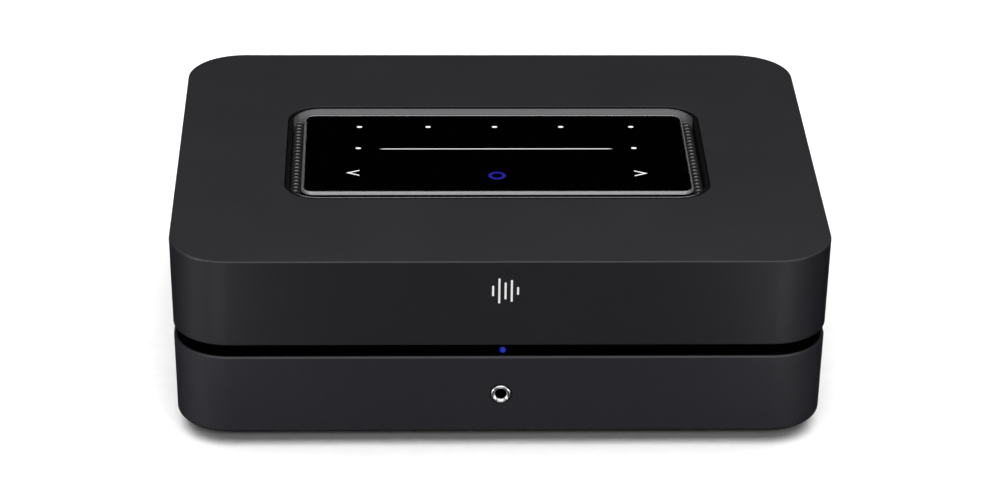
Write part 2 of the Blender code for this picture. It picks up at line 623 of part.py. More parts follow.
def speaker_posts():
    """Terminal block with four screw posts; each has a stud, a clamp washer and a knob."""
    block_face = PANEL_Y + GAP + BLOCK_THICK
    collar_end = block_face + BLOCK_COLLAR
    middle = sum(POST_XS) / len(POST_XS)
    base = block("terminal_block", *around(middle, 38 * MM, PANEL_Y + GAP, block_face,
                                           UPPER_ROW_Z - 10 * MM, UPPER_ROW_Z + 10 * MM), "black_plastic")
    washer_low = collar_end + GAP
    knob_low = washer_low + WASHER_THICK + GAP
    stud_end = POST_END_Y - 5 * MM
    for name, x in zip(POST_NAMES, POST_XS):
        centre = (x, 0, UPPER_ROW_Z)
        combine(base, turned(f"join_collar_{name}", centre,
                             [(KNOB_RADIUS, block_face - 1 * MM), (KNOB_RADIUS, collar_end)], "Y", None,
                             steps=24), "UNION")
        combine(base, turned(f"cut_collar_{name}", centre,
                             [(POST_BORE, PANEL_Y - 1 * MM), (POST_BORE, collar_end + 1 * MM)], "Y", None,
                             steps=16))
        turned(f"post_stud_{name}", centre, [(STUD_RADIUS, PANEL_Y - 9 * MM), (STUD_RADIUS, stud_end)],
               "Y", "gold_metal", steps=16)
        turned(f"post_washer_{name}", centre,
               [(KNOB_RADIUS - 1 * MM, washer_low), (KNOB_RADIUS - 1 * MM, washer_low + WASHER_THICK),
                (POST_BORE, washer_low + WASHER_THICK), (POST_BORE, washer_low)], "Y", "gold_metal",
               closed=True, steps=20, origin=(x, washer_low, UPPER_ROW_Z))
        edge = 0.8 * MM
        colour = "red_plastic" if name.endswith("plus") else "black_plastic"
        turned(f"post_knob_{name}", centre,
               [(KNOB_RADIUS - edge, knob_low), (KNOB_RADIUS, knob_low + edge),
                (KNOB_RADIUS, POST_END_Y - 2 * edge), (KNOB_RADIUS - edge, POST_END_Y),
                (PLUG_RADIUS, POST_END_Y), (PLUG_RADIUS, stud_end + GAP), (POST_BORE, stud_end + GAP),
                (POST_BORE, knob_low)], "Y", colour, closed=True, steps=24,
               origin=(x, knob_low, UPPER_ROW_Z))


# ---------------------------------------------------------------- inside

def boards():
    """Main board near the floor, and the power and amplifier board above it."""
    block("main_board", (-74 * MM, CASE_Y - 62 * MM, BOARD_Z),
          (74 * MM, PANEL_Y - PANEL_THICK - GAP, BOARD_Z + BOARD_THICK), "board")
    block("power_board", (-97 * MM, CASE_Y - 56 * MM, POWER_BOARD_Z),
          (97 * MM, CASE_Y + 54 * MM, POWER_BOARD_Z + BOARD_THICK), "board")


def power_parts():
    """Transformer and smoothing capacitors on the power board."""
    low = POWER_BOARD_Z + BOARD_THICK + GAP
    core = block("transformer_core", *around(TRANSFORMER_X, 17 * MM, CASE_Y - 4 * MM, CASE_Y + 24 * MM, low,
                                             low + 24 * MM), "sink_metal")
    soften(core, 1 * MM)
    window = around(TRANSFORMER_X, 11 * MM, CASE_Y - 10 * MM, CASE_Y + 30 * MM, low + 5 * MM,
                    low + 19 * MM)
    combine(core, block("cut_transformer_window", *window, None))
    coil = around(TRANSFORMER_X, 11 * MM - GAP, CASE_Y - 9 * MM, CASE_Y + 29 * MM, low + 5 * MM + GAP,
                  low + 19 * MM - GAP)
    winding = block("transformer_winding", *coil, "coil_tape")
    soften(winding, 2 * MM, 2)
    top = low + CAPACITOR_HEIGHT
    edge = 0.8 * MM
    can = [(CAPACITOR_RADIUS - edge, low), (CAPACITOR_RADIUS, low + edge),
           (CAPACITOR_RADIUS, top - edge), (CAPACITOR_RADIUS - edge, top)]
    for index, x in enumerate(CAPACITOR_XS, start=1):
        turned(f"power_capacitor_{index}", (x, CASE_Y + 2 * MM, 0), can, "Z", "capacitor_sleeve", steps=20)


def heat_sink():
    """Finned heat sink on the amplifier end of the power board."""
    base = POWER_BOARD_Z + BOARD_THICK + GAP
    sink = block("heat_sink", *around(SINK_X, 32 * MM, CASE_Y - 26 * MM, CASE_Y + 26 * MM, base,
                                      base + 22 * MM), "sink_metal")
    first = SINK_X - (SINK_CHANNELS - 1) / 2 * SINK_PITCH
    channels = [around(first + index * SINK_PITCH, 2.8 * MM, CASE_Y - 30 * MM, CASE_Y + 30 * MM,
                       base + 4 * MM, base + 30 * MM) for index in range(SINK_CHANNELS)]
    combine(sink, blocks("cut_sink_channels", channels, None))


def radio_parts():
    """Wireless module on the main board, with an antenna at each side behind the dark slot."""
    low = BOARD_Z + BOARD_THICK + GAP
    module = block("wireless_module", *around(-40 * MM, 14 * MM, CASE_Y - 40 * MM, CASE_Y - 18 * MM, low,
                                              low + 3 * MM), "bright_metal")
    soften(module, 0.4 * MM)
    for name, side in (("left", -1), ("right", 1)):
        x = side * (WIDTH / 2 - SLOT_DEPTH - 8 * MM)
        block(f"antenna_{name}", *around(x, 0.5 * MM, CASE_Y - 24 * MM, CASE_Y + 16 * MM, 34 * MM, 42 * MM),
              "board")


def ribbon_cable():
    """Flat cable from the sensor board down through the tray towards the boards."""
    block("panel_ribbon", *around(0, 12 * MM, CASE_Y - 0.3 * MM, CASE_Y + 0.3 * MM,
                                  POWER_BOARD_Z + BOARD_THICK + GAP, sensor_board_z() - GAP), "white_plastic")


def main():
    for old in list(bpy.data.objects):
        bpy.data.objects.remove(old)
    upper_case()
    lower_case()
    waist_frame()
    feet()
    case_screws()
    panel_tray()
    well_trim()
    vent_grilles()
    control_panel()
    front_pieces()
    rear_panel()
    data_sockets()
    optical_socket()
    audio_sockets()
    mains_inlet()
    speaker_posts()
    boards()
    power_parts()
    heat_sink()
    radio_parts()
    ribbon_cable()


main()
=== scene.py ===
"""Desktop streaming amplifier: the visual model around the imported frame."""

import json
import math

import bmesh
import bpy
from mathutils import Matrix, Vector

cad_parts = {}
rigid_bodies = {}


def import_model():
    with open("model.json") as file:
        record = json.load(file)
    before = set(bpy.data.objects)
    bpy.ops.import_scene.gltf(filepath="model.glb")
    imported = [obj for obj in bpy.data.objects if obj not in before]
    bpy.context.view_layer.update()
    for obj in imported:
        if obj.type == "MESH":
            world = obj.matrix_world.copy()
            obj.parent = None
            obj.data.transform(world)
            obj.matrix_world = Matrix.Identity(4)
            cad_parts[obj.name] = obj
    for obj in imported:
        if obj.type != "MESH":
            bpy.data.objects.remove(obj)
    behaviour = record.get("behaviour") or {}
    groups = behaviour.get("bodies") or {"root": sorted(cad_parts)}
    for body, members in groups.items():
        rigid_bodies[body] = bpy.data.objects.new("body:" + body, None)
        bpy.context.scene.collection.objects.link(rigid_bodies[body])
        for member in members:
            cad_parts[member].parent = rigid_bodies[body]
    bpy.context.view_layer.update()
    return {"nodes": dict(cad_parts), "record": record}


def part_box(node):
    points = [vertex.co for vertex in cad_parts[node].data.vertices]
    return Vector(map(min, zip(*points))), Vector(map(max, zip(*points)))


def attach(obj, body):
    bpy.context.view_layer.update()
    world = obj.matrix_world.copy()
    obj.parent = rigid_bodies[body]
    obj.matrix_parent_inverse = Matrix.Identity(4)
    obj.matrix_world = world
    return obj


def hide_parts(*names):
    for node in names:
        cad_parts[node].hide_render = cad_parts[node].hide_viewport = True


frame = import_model()

MM = 0.001
CASE_LOW, CASE_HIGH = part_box("upper_case")
HEIGHT = CASE_HIGH.z
WIDTH = CASE_HIGH.x - CASE_LOW.x
CASE_DEPTH = CASE_HIGH.y - CASE_LOW.y
CASE_Y = (CASE_HIGH.y + CASE_LOW.y) / 2
FRONT_Y = CASE_LOW.y
REAR_Y = CASE_HIGH.y

# the case, as in the frame
CORNER_RADIUS = 20 * MM
CORNER_STEPS = 28
DRAFT = 0.021
WALL = 3 * MM
TOP_EDGE = 0.5 * MM
LOWER_CHAMFER = 0.5 * MM
RIM_EDGE = 0.4 * MM
LIP_WIDTH = 1 * MM
LIP_HEIGHT = 0.9 * MM
UPPER_RIM_Z = CASE_LOW.z
LOWER_RIM_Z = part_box("lower_case")[1].z
BASE_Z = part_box("lower_case")[0].z
BASE_EDGE = 1.5 * MM
FLOOR_Z = BASE_Z + 3 * MM
SLOT_DEPTH = 3.5 * MM
GAP = 0.3 * MM

# the well, the panel and the vents
TRIM_LOW, TRIM_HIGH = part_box("well_trim")
TRIM_THICK = 1.3 * MM
WELL_WIDTH = TRIM_HIGH.x - TRIM_LOW.x - 2 * TRIM_THICK
WELL_DEPTH = TRIM_HIGH.y - TRIM_LOW.y - 2 * TRIM_THICK
WELL_Y = (TRIM_HIGH.y + TRIM_LOW.y) / 2
WELL_RADIUS = 10 * MM
WELL_EDGE = 0.15 * MM
COLLAR_Z = TRIM_LOW.z
COLLAR_WALL = 3.2 * MM
GLASS_LOW, GLASS_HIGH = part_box("touch_glass")
GLASS_WIDTH = GLASS_HIGH.x - GLASS_LOW.x
GLASS_DEPTH = GLASS_HIGH.y - GLASS_LOW.y
GLASS_Y = (GLASS_HIGH.y + GLASS_LOW.y) / 2
GLASS_RADIUS = 3.2 * MM
VENT_RIBS = 25
VENT_PITCH = 2.67 * MM
RIB_HALF = 0.52 * MM
RIB_STEPS = 14
RIB_ARCH = 1.1 * MM
# across the rib's width and below its crown, in shares of its half width and in mm
RIB_CROWN = ((-1.0, -0.6), (-0.92, -0.34), (-0.72, -0.15), (-0.4, -0.03), (0, 0), (0.4, -0.03), (0.72, -0.15),
             (0.92, -0.34), (1.0, -0.6))
# the lit icons: how far above the glass they lie, and the ring's place from the middle of the case
ICON_Z = (0.01 * MM, 0.05 * MM)
RING_ICON_Y = -19.3 * MM
RING_ICON_RADII = (2.98 * MM, 1.84 * MM)
# the places of the dots and the slider, in mm
ICON_DOTS = ((-47.5, 20.75), (-23.3, 20.75), (0.2, 20.75), (23.6, 20.75), (48.4, 20.75), (-47.8, 3.0),
             (48.4, 3.0))
SLIDER_Y = 2.4

# the openings, the status light and the headphone socket
OPENING_HALF = 82 * MM
OPENING_LOW_Z = 10.4 * MM
OPENING_HIGH_Z = 61 * MM
INTAKE_SLOTS = 9
INTAKE_PITCH = 9 * MM
INTAKE_HALF_X = 1.6 * MM
INTAKE_HALF_Y = 22 * MM
STATUS_LOW, STATUS_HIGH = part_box("status_light_pipe")
RING_LOW, RING_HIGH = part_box("headphone_ring")
JACK_CENTRE = (0, 0, (RING_LOW.z + RING_HIGH.z) / 2)
JACK_RING_RADIUS = (RING_HIGH.z - RING_LOW.z) / 2
JACK_BORE_RADIUS = 1.8 * MM
JACK_NOSE_RADIUS = 2.4 * MM
# radius and depth from the foremost point, in mm: outer bead, groove, then the funnel down to the bore
RING_PROFILE = ((3.3, 0.9), (3.28, 0.62), (3.2, 0.36), (3.07, 0.15), (2.92, 0.03), (2.8, 0.0), (2.7, 0.05),
                (2.66, 0.2), (2.52, 0.22), (2.5, 0.13), (2.44, 0.1), (2.36, 0.14), (1.94, 0.62), (1.88, 0.78),
                (1.88, 1.1), (2.68, 1.15))
# the printed mark, a plain row of level bars, in mm: place, pitch, half width and half heights
MARK_X = 1.1
MARK_Z = 59.2
MARK_PITCH = 2.05
MARK_BAR = 0.33
MARK_BARS = (1.9, 4.6, 3.1, 4.0, 1.4)

# the case screws
SCREW_X = 93 * MM
SCREW_Y = 48 * MM
SCREW_HOLE_RADIUS = 3.5 * MM
SCREW_HOLE_MOUTH = 3.9 * MM
SCREW_SHANK = 1.5 * MM
SCREW_HEX = 1.45 * MM

# the rear
PANEL_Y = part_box("rear_panel")[1].y
PANEL_LOW_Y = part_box("rear_panel")[0].y
POST_ROW_Z = 47 * MM
POSTS = ("right_minus", "right_plus", "left_minus", "left_plus")
STUD_RADIUS = 2.5 * MM
POST_BORE = STUD_RADIUS + GAP
AUDIO_SOCKETS = (("sub_out", "knob_black"), ("line_out_left", "white_plastic"),
                 ("line_out_right", "red_plastic"))
# the panel's screws, across and up in mm
PANEL_SCREWS = ((-77, 56), (20, 57), (77, 56), (-77, 15), (24, 13.5), (77, 15))
PIN_CONTACTS = 8
PIN_PITCH = 1.02 * MM
SIGN_DROP = 8.3 * MM
FLUTES = 20
STEPS_PER_FLUTE = 8
KNOB_RADIUS = 6.5 * MM
KNOB_STEPS = FLUTES * STEPS_PER_FLUTE

# ---------------------------------------- camera

CAMERA_AT = Vector((-36.7338, -1127.9133, 591.7465)) * MM
CAMERA_PITCH = math.radians(26.593)
CAMERA_YAW = math.radians(1.985)
CAMERA_ROLL = math.radians(0.804)
CAMERA_LENS = 127.56
SENSOR_WIDTH = 36


def add_camera():
    """A camera at the viewing angle of the photograph, with no shift."""
    forward = Vector((math.sin(CAMERA_YAW) * math.cos(CAMERA_PITCH),
                      math.cos(CAMERA_YAW) * math.cos(CAMERA_PITCH), -math.sin(CAMERA_PITCH)))
    level = Vector((math.cos(CAMERA_YAW), -math.sin(CAMERA_YAW), 0))
    upward = level.cross(forward)
    right = level * math.cos(CAMERA_ROLL) + upward * math.sin(CAMERA_ROLL)
    up = -level * math.sin(CAMERA_ROLL) + upward * math.cos(CAMERA_ROLL)
    data = bpy.data.cameras.new("camera")
    data.lens = CAMERA_LENS
    data.sensor_width = SENSOR_WIDTH
    data.clip_start = 0.01
    data.clip_end = 50
    camera = bpy.data.objects.new("camera", data)
    bpy.context.scene.collection.objects.link(camera)
    rotation = Matrix((right, up, -forward)).transposed()
    camera.matrix_world = Matrix.Translation(CAMERA_AT) @ rotation.to_4x4()
    bpy.context.scene.camera = camera


# ---------------------------------------- floor and lights

# name, place, aim, size, power and the group it reaches
LIGHTS = (
    ("overhead", (0, -0.1, 1.5), (0, 0, 0), (2.6, 2.6), 54, ""),
    ("front", (0, -1.6, 1.0), (0, 0, 0), (1.4, 0.3), 8.6, ""),
    ("floor_fill", (0, 0, 2.2), (0, 0, 0), (4.0, 4.0), 42, "floor"),
    ("left_low", (-0.9, -0.5, 0.08), (-0.1, -0.09, 0.04), (0.3, 0.1), 7.0, "shells"),
    ("right_low", (0.7, -0.7, 0.09), (0.1, -0.09, 0.04), (0.3, 0.1), 3.2, "shells"),
    ("left_corner", (-0.112, -0.145, 0.036), (-0.105, -0.09, 0.032), (0.04, 0.06), 0.007, "shells"),
    ("right_corner", (0.112, -0.145, 0.036), (0.105, -0.09, 0.032), (0.04, 0.06), 0.008, "shells"),
    ("rear_high", (0, 0.9, 1.6), (0, 0, 0), (1.8, 0.4), 5.4, "pieces"),
    ("rear_fill", (-0.3, 1.0, 0.5), (0, 0.08, 0.04), (0.8, 0.4), 6, "rear"),
    ("ring_left", (-0.45, -0.2, 0.06), (0, -0.086, 0.02), (0.4, 0.12), 1.7, "ring"),
    ("ring_right", (0.45, -0.2, 0.06), (0, -0.086, 0.02), (0.4, 0.12), 1.7, "ring"),
    ("trim_front", (0, -1.1, 0.8), (0, 0, 0.06), (1.5, 0.7), 126, "trim"),
)
FLOOR_HALF = 6
# pieces wholly behind this are lit by the rear group's light
REAR_PIECES_Y = 50 * MM


def reached_by(group):
    """The collection of the pieces that a group's lights are limited to."""
    found = bpy.data.collections.get("lit_" + group)
    return found or bpy.data.collections.new("lit_" + group)


def area_light(name, at, towards, size, power, reach):
    """A soft rectangular light aimed at a point; it reaches one group of pieces, or everything."""
    data = bpy.data.lights.new(name, "AREA")
    data.shape = "RECTANGLE"
    data.size, data.size_y = size
    data.energy = power
    light = bpy.data.objects.new(name, data)
    if reach:
        light.light_linking.receiver_collection = reached_by(reach)
    light.visible_camera = False
    bpy.context.scene.collection.objects.link(light)
    light.location = at
    light.rotation_euler = (Vector(towards) - Vector(at)).to_track_quat("-Z", "Y").to_euler()


def add_surroundings():
    """A pale floor, a world that is white to the camera and gives no light, and soft studio lights."""
    shape = bmesh.new()
    bmesh.ops.create_grid(shape, x_segments=4, y_segments=4, size=FLOOR_HALF)
    mesh = bpy.data.meshes.new("floor")
    shape.to_mesh(mesh)
    shape.free()
    floor = bpy.data.objects.new("floor", mesh)
    bpy.context.scene.collection.objects.link(floor)
    mesh.materials.append(finish_of("floor"))
    floor.visible_glossy = False

    world = bpy.data.worlds.new("studio")
    bpy.context.scene.world = world
    world.use_nodes = True
    tree = world.node_tree
    unlit = tree.nodes["Background"]
    unlit.inputs["Strength"].default_value = 0.0
    seen = tree.nodes.new("ShaderNodeBackground")
    seen.inputs["Strength"].default_value = 1.0
    path = tree.nodes.new("ShaderNodeLightPath")
    mix = tree.nodes.new("ShaderNodeMixShader")
    tree.links.new(path.outputs["Is Camera Ray"], mix.inputs[0])
    tree.links.new(unlit.outputs[0], mix.inputs[1])
    tree.links.new(seen.outputs[0], mix.inputs[2])
    tree.links.new(mix.outputs[0], tree.nodes["World Output"].inputs[0])

    reached_by("floor").objects.link(floor)
    for light in LIGHTS:
        area_light(*light)
    bpy.context.scene.view_settings.view_transform = "Standard"


# ---------------------------------------- materials

# dark and light colour, lowest and highest roughness, metallic, specular level, grain and bump in mm
FINISHES = {
    "floor": ((0.92, 0.92, 0.92), (0.95, 0.95, 0.95), (0.55, 0.65), 0.0, 0.5, 6, 0.0),
    "case": ((0.0064, 0.0062, 0.0081), (0.0088, 0.0085, 0.0111), (0.38, 0.46), 0.0, 0.33, 0.35, 0.03),
    # painted light: a lighter copy of the case finish for the lower shell, standing in for light bounced from
    # the floor
    "case_lower_painted_bounce": ((0.0088, 0.0084, 0.011), (0.0121, 0.0115, 0.0149), (0.38, 0.46), 0.0, 0.33, 0.35, 0.03),
    # painted light: lighter copies of one dark wall finish, for the well's rear wall and the step where it
    # turns
    "painted_lit_wall": ((0.027, 0.027, 0.028), (0.033, 0.033, 0.034), (0.5, 0.58), 0.0, 0.05, 0.3, 0.01),
    "painted_half_lit_wall": ((0.019, 0.019, 0.0195), (0.023, 0.023, 0.0235), (0.5, 0.58), 0.0, 0.05, 0.3, 0.01),
    "trim_top": ((0.1, 0.1, 0.105), (0.14, 0.14, 0.145), (0.24, 0.3), 1.0, 0.5, 0.3, 0.004),
    "black_plastic": ((0.005, 0.005, 0.0055), (0.009, 0.009, 0.0095), (0.5, 0.62), 0.0, 0.3, 0.3, 0.03),
    # painted shade: a near-black finish, darker than any real material, for slots, well sides, bezel sides,
    # bores, throats and the tray that lie in shade
    "painted_shade_black": ((0.0003, 0.0003, 0.0003), (0.0006, 0.0006, 0.0006), (0.75, 0.85), 0.0, 0.02, 0.3, 0.02),
    "vent_black": ((0.022, 0.022, 0.023), (0.028, 0.028, 0.029), (0.3, 0.38), 0.0, 0.75, 0.25, 0.015),
    "panel_glass": ((0.0002, 0.0002, 0.0002), (0.0004, 0.0004, 0.0004), (0.03, 0.06), 0.0, 0.35, 2, 0.0),
    "bezel_metal": ((0.3, 0.3, 0.315), (0.36, 0.36, 0.375), (0.54, 0.62), 1.0, 0.5, 0.25, 0.006),
    "bright_metal": ((0.62, 0.62, 0.63), (0.74, 0.74, 0.75), (0.16, 0.26), 1.0, 0.5, 0.5, 0.004),
    "ring_metal": ((0.6, 0.6, 0.61), (0.7, 0.7, 0.71), (0.3, 0.38), 1.0, 0.5, 0.5, 0.002),
    "gold_metal": ((0.7, 0.48, 0.17), (0.82, 0.6, 0.25), (0.18, 0.28), 1.0, 0.5, 0.5, 0.004),
    "foot_rubber": ((0.01, 0.01, 0.01), (0.018, 0.018, 0.018), (0.72, 0.85), 0.0, 0.25, 0.4, 0.05),
    "rear_steel": ((0.01, 0.01, 0.011), (0.017, 0.017, 0.018), (0.45, 0.58), 0.0, 0.35, 0.5, 0.05),
    "screw_steel": ((0.07, 0.07, 0.072), (0.11, 0.11, 0.112), (0.3, 0.42), 1.0, 0.5, 0.3, 0.01),
    "red_plastic": ((0.4, 0.01, 0.012), (0.48, 0.018, 0.02), (0.26, 0.36), 0.0, 0.5, 0.4, 0.01),
    "knob_black": ((0.01, 0.01, 0.011), (0.015, 0.015, 0.016), (0.26, 0.36), 0.0, 0.5, 0.4, 0.01),
    "white_plastic": ((0.68, 0.68, 0.66), (0.76, 0.76, 0.74), (0.3, 0.4), 0.0, 0.5, 0.4, 0.01),
    "lamp_lens": ((0.1, 0.3, 0.06), (0.14, 0.38, 0.09), (0.12, 0.2), 0.0, 0.5, 0.4, 0.01),
    "light_guide": ((0.7, 0.7, 0.7), (0.8, 0.8, 0.8), (0.5, 0.6), 0.0, 0.5, 0.6, 0.01),
    "board_black": ((0.004, 0.004, 0.0045), (0.007, 0.007, 0.0075), (0.4, 0.5), 0.0, 0.3, 0.4, 0.01),
    "board": ((0.006, 0.06, 0.026), (0.012, 0.1, 0.045), (0.3, 0.4), 0.0, 0.5, 1.5, 0.02),
    "sink_metal": ((0.38, 0.38, 0.39), (0.5, 0.5, 0.51), (0.35, 0.5), 1.0, 0.5, 0.8, 0.02),
    "coil_tape": ((0.5, 0.36, 0.04), (0.6, 0.45, 0.06), (0.35, 0.5), 0.0, 0.5, 1.2, 0.03),
    "capacitor_sleeve": ((0.015, 0.022, 0.06), (0.025, 0.035, 0.09), (0.25, 0.35), 0.0, 0.5, 1, 0.01),
}
# the size of the patches of uneven roughness, where it isn't a multiple of the grain
PATCHES = {"case": 30 * MM, "case_lower_painted_bounce": 30 * MM}
PATCHES_TO_GRAIN = 8
# colour and strength
GLOWS = {
    "icon_white": ((1.0, 1.0, 1.0), 1.0),
    "icon_blue": ((0.011, 0.007, 0.28), 1.0),
    "status_light": ((0.021, 0.045, 0.68), 1.0),
    # painted light: the printed mark glows though it is only print
    "mark_painted_glow": ((0.8, 0.8, 0.8), 0.9),
}


def noise(tree, coordinates, size, detail=2.0):
    """A noise texture whose features are about size metres across."""
    node = tree.nodes.new("ShaderNodeTexNoise")
    node.inputs["Scale"].default_value = 1 / size
    node.inputs["Detail"].default_value = detail
    tree.links.new(coordinates, node.inputs["Vector"])
    return node.outputs["Fac"]


def nearness(tree, where, point, reach):
    """A value that falls from 1 at a point to 0 at a distance of reach."""
    away = tree.nodes.new("ShaderNodeVectorMath")
    away.operation = "DISTANCE"
    tree.links.new(where, away.inputs[0])
    away.inputs[1].default_value = point
    spread = tree.nodes.new("ShaderNodeMapRange")
    spread.inputs["From Max"].default_value = reach
    spread.inputs["To Min"].default_value = 1.0
    spread.inputs["To Max"].default_value = 0.0
    tree.links.new(away.outputs["Value"], spread.inputs["Value"])
    return spread.outputs["Result"]


def glowing(name, tree, shader, where):
    """Makes a shader glow: evenly, or for the status light most at its middle."""
    colour, strength = GLOWS[name]
    shader.inputs["Base Color"].default_value = (*[c * 0.15 for c in colour], 1)
    shader.inputs["Emission Color"].default_value = (*colour, 1)
    shader.inputs["Emission Strength"].default_value = strength
    shader.inputs["Roughness"].default_value = 0.3
    ramp = tree.nodes.new("ShaderNodeValToRGB")
    if name == "status_light":
        middle = ((STATUS_LOW.x + STATUS_HIGH.x) / 2, STATUS_LOW.y, (STATUS_LOW.z + STATUS_HIGH.z) / 2)
        weakest, glow = 0.05, nearness(tree, where, middle, 1.25 * MM)
    else:
        weakest, glow = 0.85, noise(tree, where, 0.5 * MM)
    ramp.color_ramp.elements[0].color = (*[c * weakest for c in colour], 1)
    ramp.color_ramp.elements[1].color = (*colour, 1)
    tree.links.new(glow, ramp.inputs["Fac"])
    tree.links.new(ramp.outputs["Color"], shader.inputs["Emission Color"])


def mottled(name, tree, shader, where):
    """Gives a shader mottled colour, uneven roughness and fine bump."""
    dark, light, rough, metallic, specular, grain, depth = FINISHES[name]
    grain *= MM
    ramp = tree.nodes.new("ShaderNodeValToRGB")
    ramp.color_ramp.elements[0].color = (*dark, 1)
    ramp.color_ramp.elements[1].color = (*light, 1)
    ramp.color_ramp.elements[0].position = 0.3
    ramp.color_ramp.elements[1].position = 0.7
    tree.links.new(noise(tree, where, grain), ramp.inputs["Fac"])
    tree.links.new(ramp.outputs["Color"], shader.inputs["Base Color"])
    spread = tree.nodes.new("ShaderNodeMapRange")
    spread.inputs["To Min"].default_value, spread.inputs["To Max"].default_value = rough
    patches = noise(tree, where, PATCHES.get(name, PATCHES_TO_GRAIN * grain), 4)
    tree.links.new(patches, spread.inputs["Value"])
    tree.links.new(spread.outputs["Result"], shader.inputs["Roughness"])
    shader.inputs["Metallic"].default_value = metallic
    shader.inputs["Specular IOR Level"].default_value = specular
    if depth:
        bump = tree.nodes.new("ShaderNodeBump")
        bump.inputs["Strength"].default_value = 0.6
        bump.inputs["Distance"].default_value = depth * MM
        tree.links.new(noise(tree, where, grain, 3), bump.inputs["Height"])
        tree.links.new(bump.outputs["Normal"], shader.inputs["Normal"])


def finish_of(name):
    """The procedural material of that name, made when it is first asked for."""
    found = bpy.data.materials.get("finish_" + name)
    if found:
        return found
    made = bpy.data.materials.new("finish_" + name)
    made.use_nodes = True
    tree = made.node_tree
    where = tree.nodes.new("ShaderNodeTexCoord").outputs["Object"]
    dress = glowing if name in GLOWS else mottled
    dress(name, tree, tree.nodes["Principled BSDF"], where)
    return made


# ---------------------------------------- geometry

def rounded_loop(half_x, half_y, radius, z, centre=(0.0, 0.0), steps=CORNER_STEPS):
    """A rounded rectangle at height z, counter-clockwise from its +X side."""
    points = []
    for corner, (side_x, side_y) in enumerate(((1, 1), (-1, 1), (-1, -1), (1, -1))):
        for step in range(steps + 1):
            angle = math.pi / 2 * (corner + step / steps)
            points.append((centre[0] + side_x * (half_x - radius) + radius * math.cos(angle),
                           centre[1] + side_y * (half_y - radius) + radius * math.sin(angle), z))
    return points


def case_loop(z, inset):
    """The case's outline at height z, moved in from the leaning outer surface."""
    lean = DRAFT * (HEIGHT - z)
    return rounded_loop(WIDTH / 2 - lean - inset, CASE_DEPTH / 2 - lean - inset,
                        CORNER_RADIUS - lean - inset, z, (0, CASE_Y))


def well_loop(z, grow):
    """The outline of the well in the top, made larger all round by grow."""
    return rounded_loop(WELL_WIDTH / 2 + grow, WELL_DEPTH / 2 + grow, WELL_RADIUS + grow, z, (0, WELL_Y))


def glass_loop(z, grow):
    """The outline of the control glass, made larger all round by grow."""
    return rounded_loop(GLASS_WIDTH / 2 + grow, GLASS_DEPTH / 2 + grow, GLASS_RADIUS + grow, z,
                        (0, GLASS_Y), 14)


def quarter(steps):
    """Sine and cosine pairs through a quarter turn."""
    angles = [math.pi / 2 * step / steps for step in range(steps + 1)]
    return [(math.sin(angle), math.cos(angle)) for angle in angles]


def add_mesh(name, shape, finish, sharp=30):
    """An object from a bmesh, with outward faces, smooth shading and sharp edges past an angle."""
    bmesh.ops.recalc_face_normals(shape, faces=shape.faces)
    if shape.calc_volume(signed=True) < 0:
        bmesh.ops.reverse_faces(shape, faces=shape.faces)
    mesh = bpy.data.meshes.new(name)
    shape.to_mesh(mesh)
    shape.free()
    mesh.shade_smooth()
    mesh.set_sharp_from_angle(angle=math.radians(sharp))
    made = bpy.data.objects.new(name, mesh)
    bpy.context.scene.collection.objects.link(made)
    if finish:
        mesh.materials.append(finish_of(finish))
    return made


def ring_faces(shape, rings, closed):
    """Faces between neighbouring rings of vertices."""
    pairs = list(zip(rings, rings[1:]))
    if closed:
        pairs.append((rings[-1], rings[0]))
    count = len(rings[0])
    for lower, upper in pairs:
        for i in range(count):
            j = (i + 1) % count
            shape.faces.new((lower[i], lower[j], upper[j], upper[i]))


def loft(name, loops, finish, closed=False, sharp=30):
    """Skins a row of equal loops: capped at both ends, or joined end to end when closed."""
    shape = bmesh.new()
    rings = [[shape.verts.new(point) for point in loop] for loop in loops]
    ring_faces(shape, rings, closed)
    if not closed:
        shape.faces.new(list(reversed(rings[0])))
        shape.faces.new(rings[-1])
    return add_mesh(name, shape, finish, sharp)


def circle(centre, radius, axis, position, steps):
    """A circle about an axis parallel to Y or Z."""
    points = []
    for step in range(steps):
        angle = 2 * math.pi * step / steps
        across, up = radius * math.cos(angle), radius * math.sin(angle)
        if axis == "Y":
            points.append((centre[0] + across, position, centre[2] + up))
        else:
            points.append((centre[0] + across, centre[1] + up, position))
    return points


def lathe(name, centre, profile, axis, finish, closed=False, steps=48, sharp=30):
    """A turned piece: profile is a row of (radius, position along the axis)."""
    return loft(name, [circle(centre, radius, axis, position, steps) for radius, position in profile],
                finish, closed, sharp)


def boxes(name, corners, finish, edge=0.0, segments=2):
    """One mesh of boxes, each given by its lowest and highest corner, with rounded edges."""
    shape = bmesh.new()
    for low, high in corners:
        verts = [shape.verts.new((x, y, z))
                 for z in (low[2], high[2]) for y in (low[1], high[1]) for x in (low[0], high[0])]
        for face in ((0, 1, 3, 2), (4, 5, 7, 6), (0, 1, 5, 4), (2, 3, 7, 6), (0, 2, 6, 4), (1, 3, 7, 5)):
            shape.faces.new([verts[i] for i in face])
    bmesh.ops.recalc_face_normals(shape, faces=shape.faces)
    if edge:
        bmesh.ops.bevel(shape, geom=shape.edges[:], offset=edge, segments=segments, affect="EDGES",
                        profile=0.5)
    return add_mesh(name, shape, finish)


def around(x, half_x, low_y, high_y, low_z, high_z):
    """The two corners of a box centred on x."""
    return (x - half_x, low_y, low_z), (x + half_x, high_y, high_z)


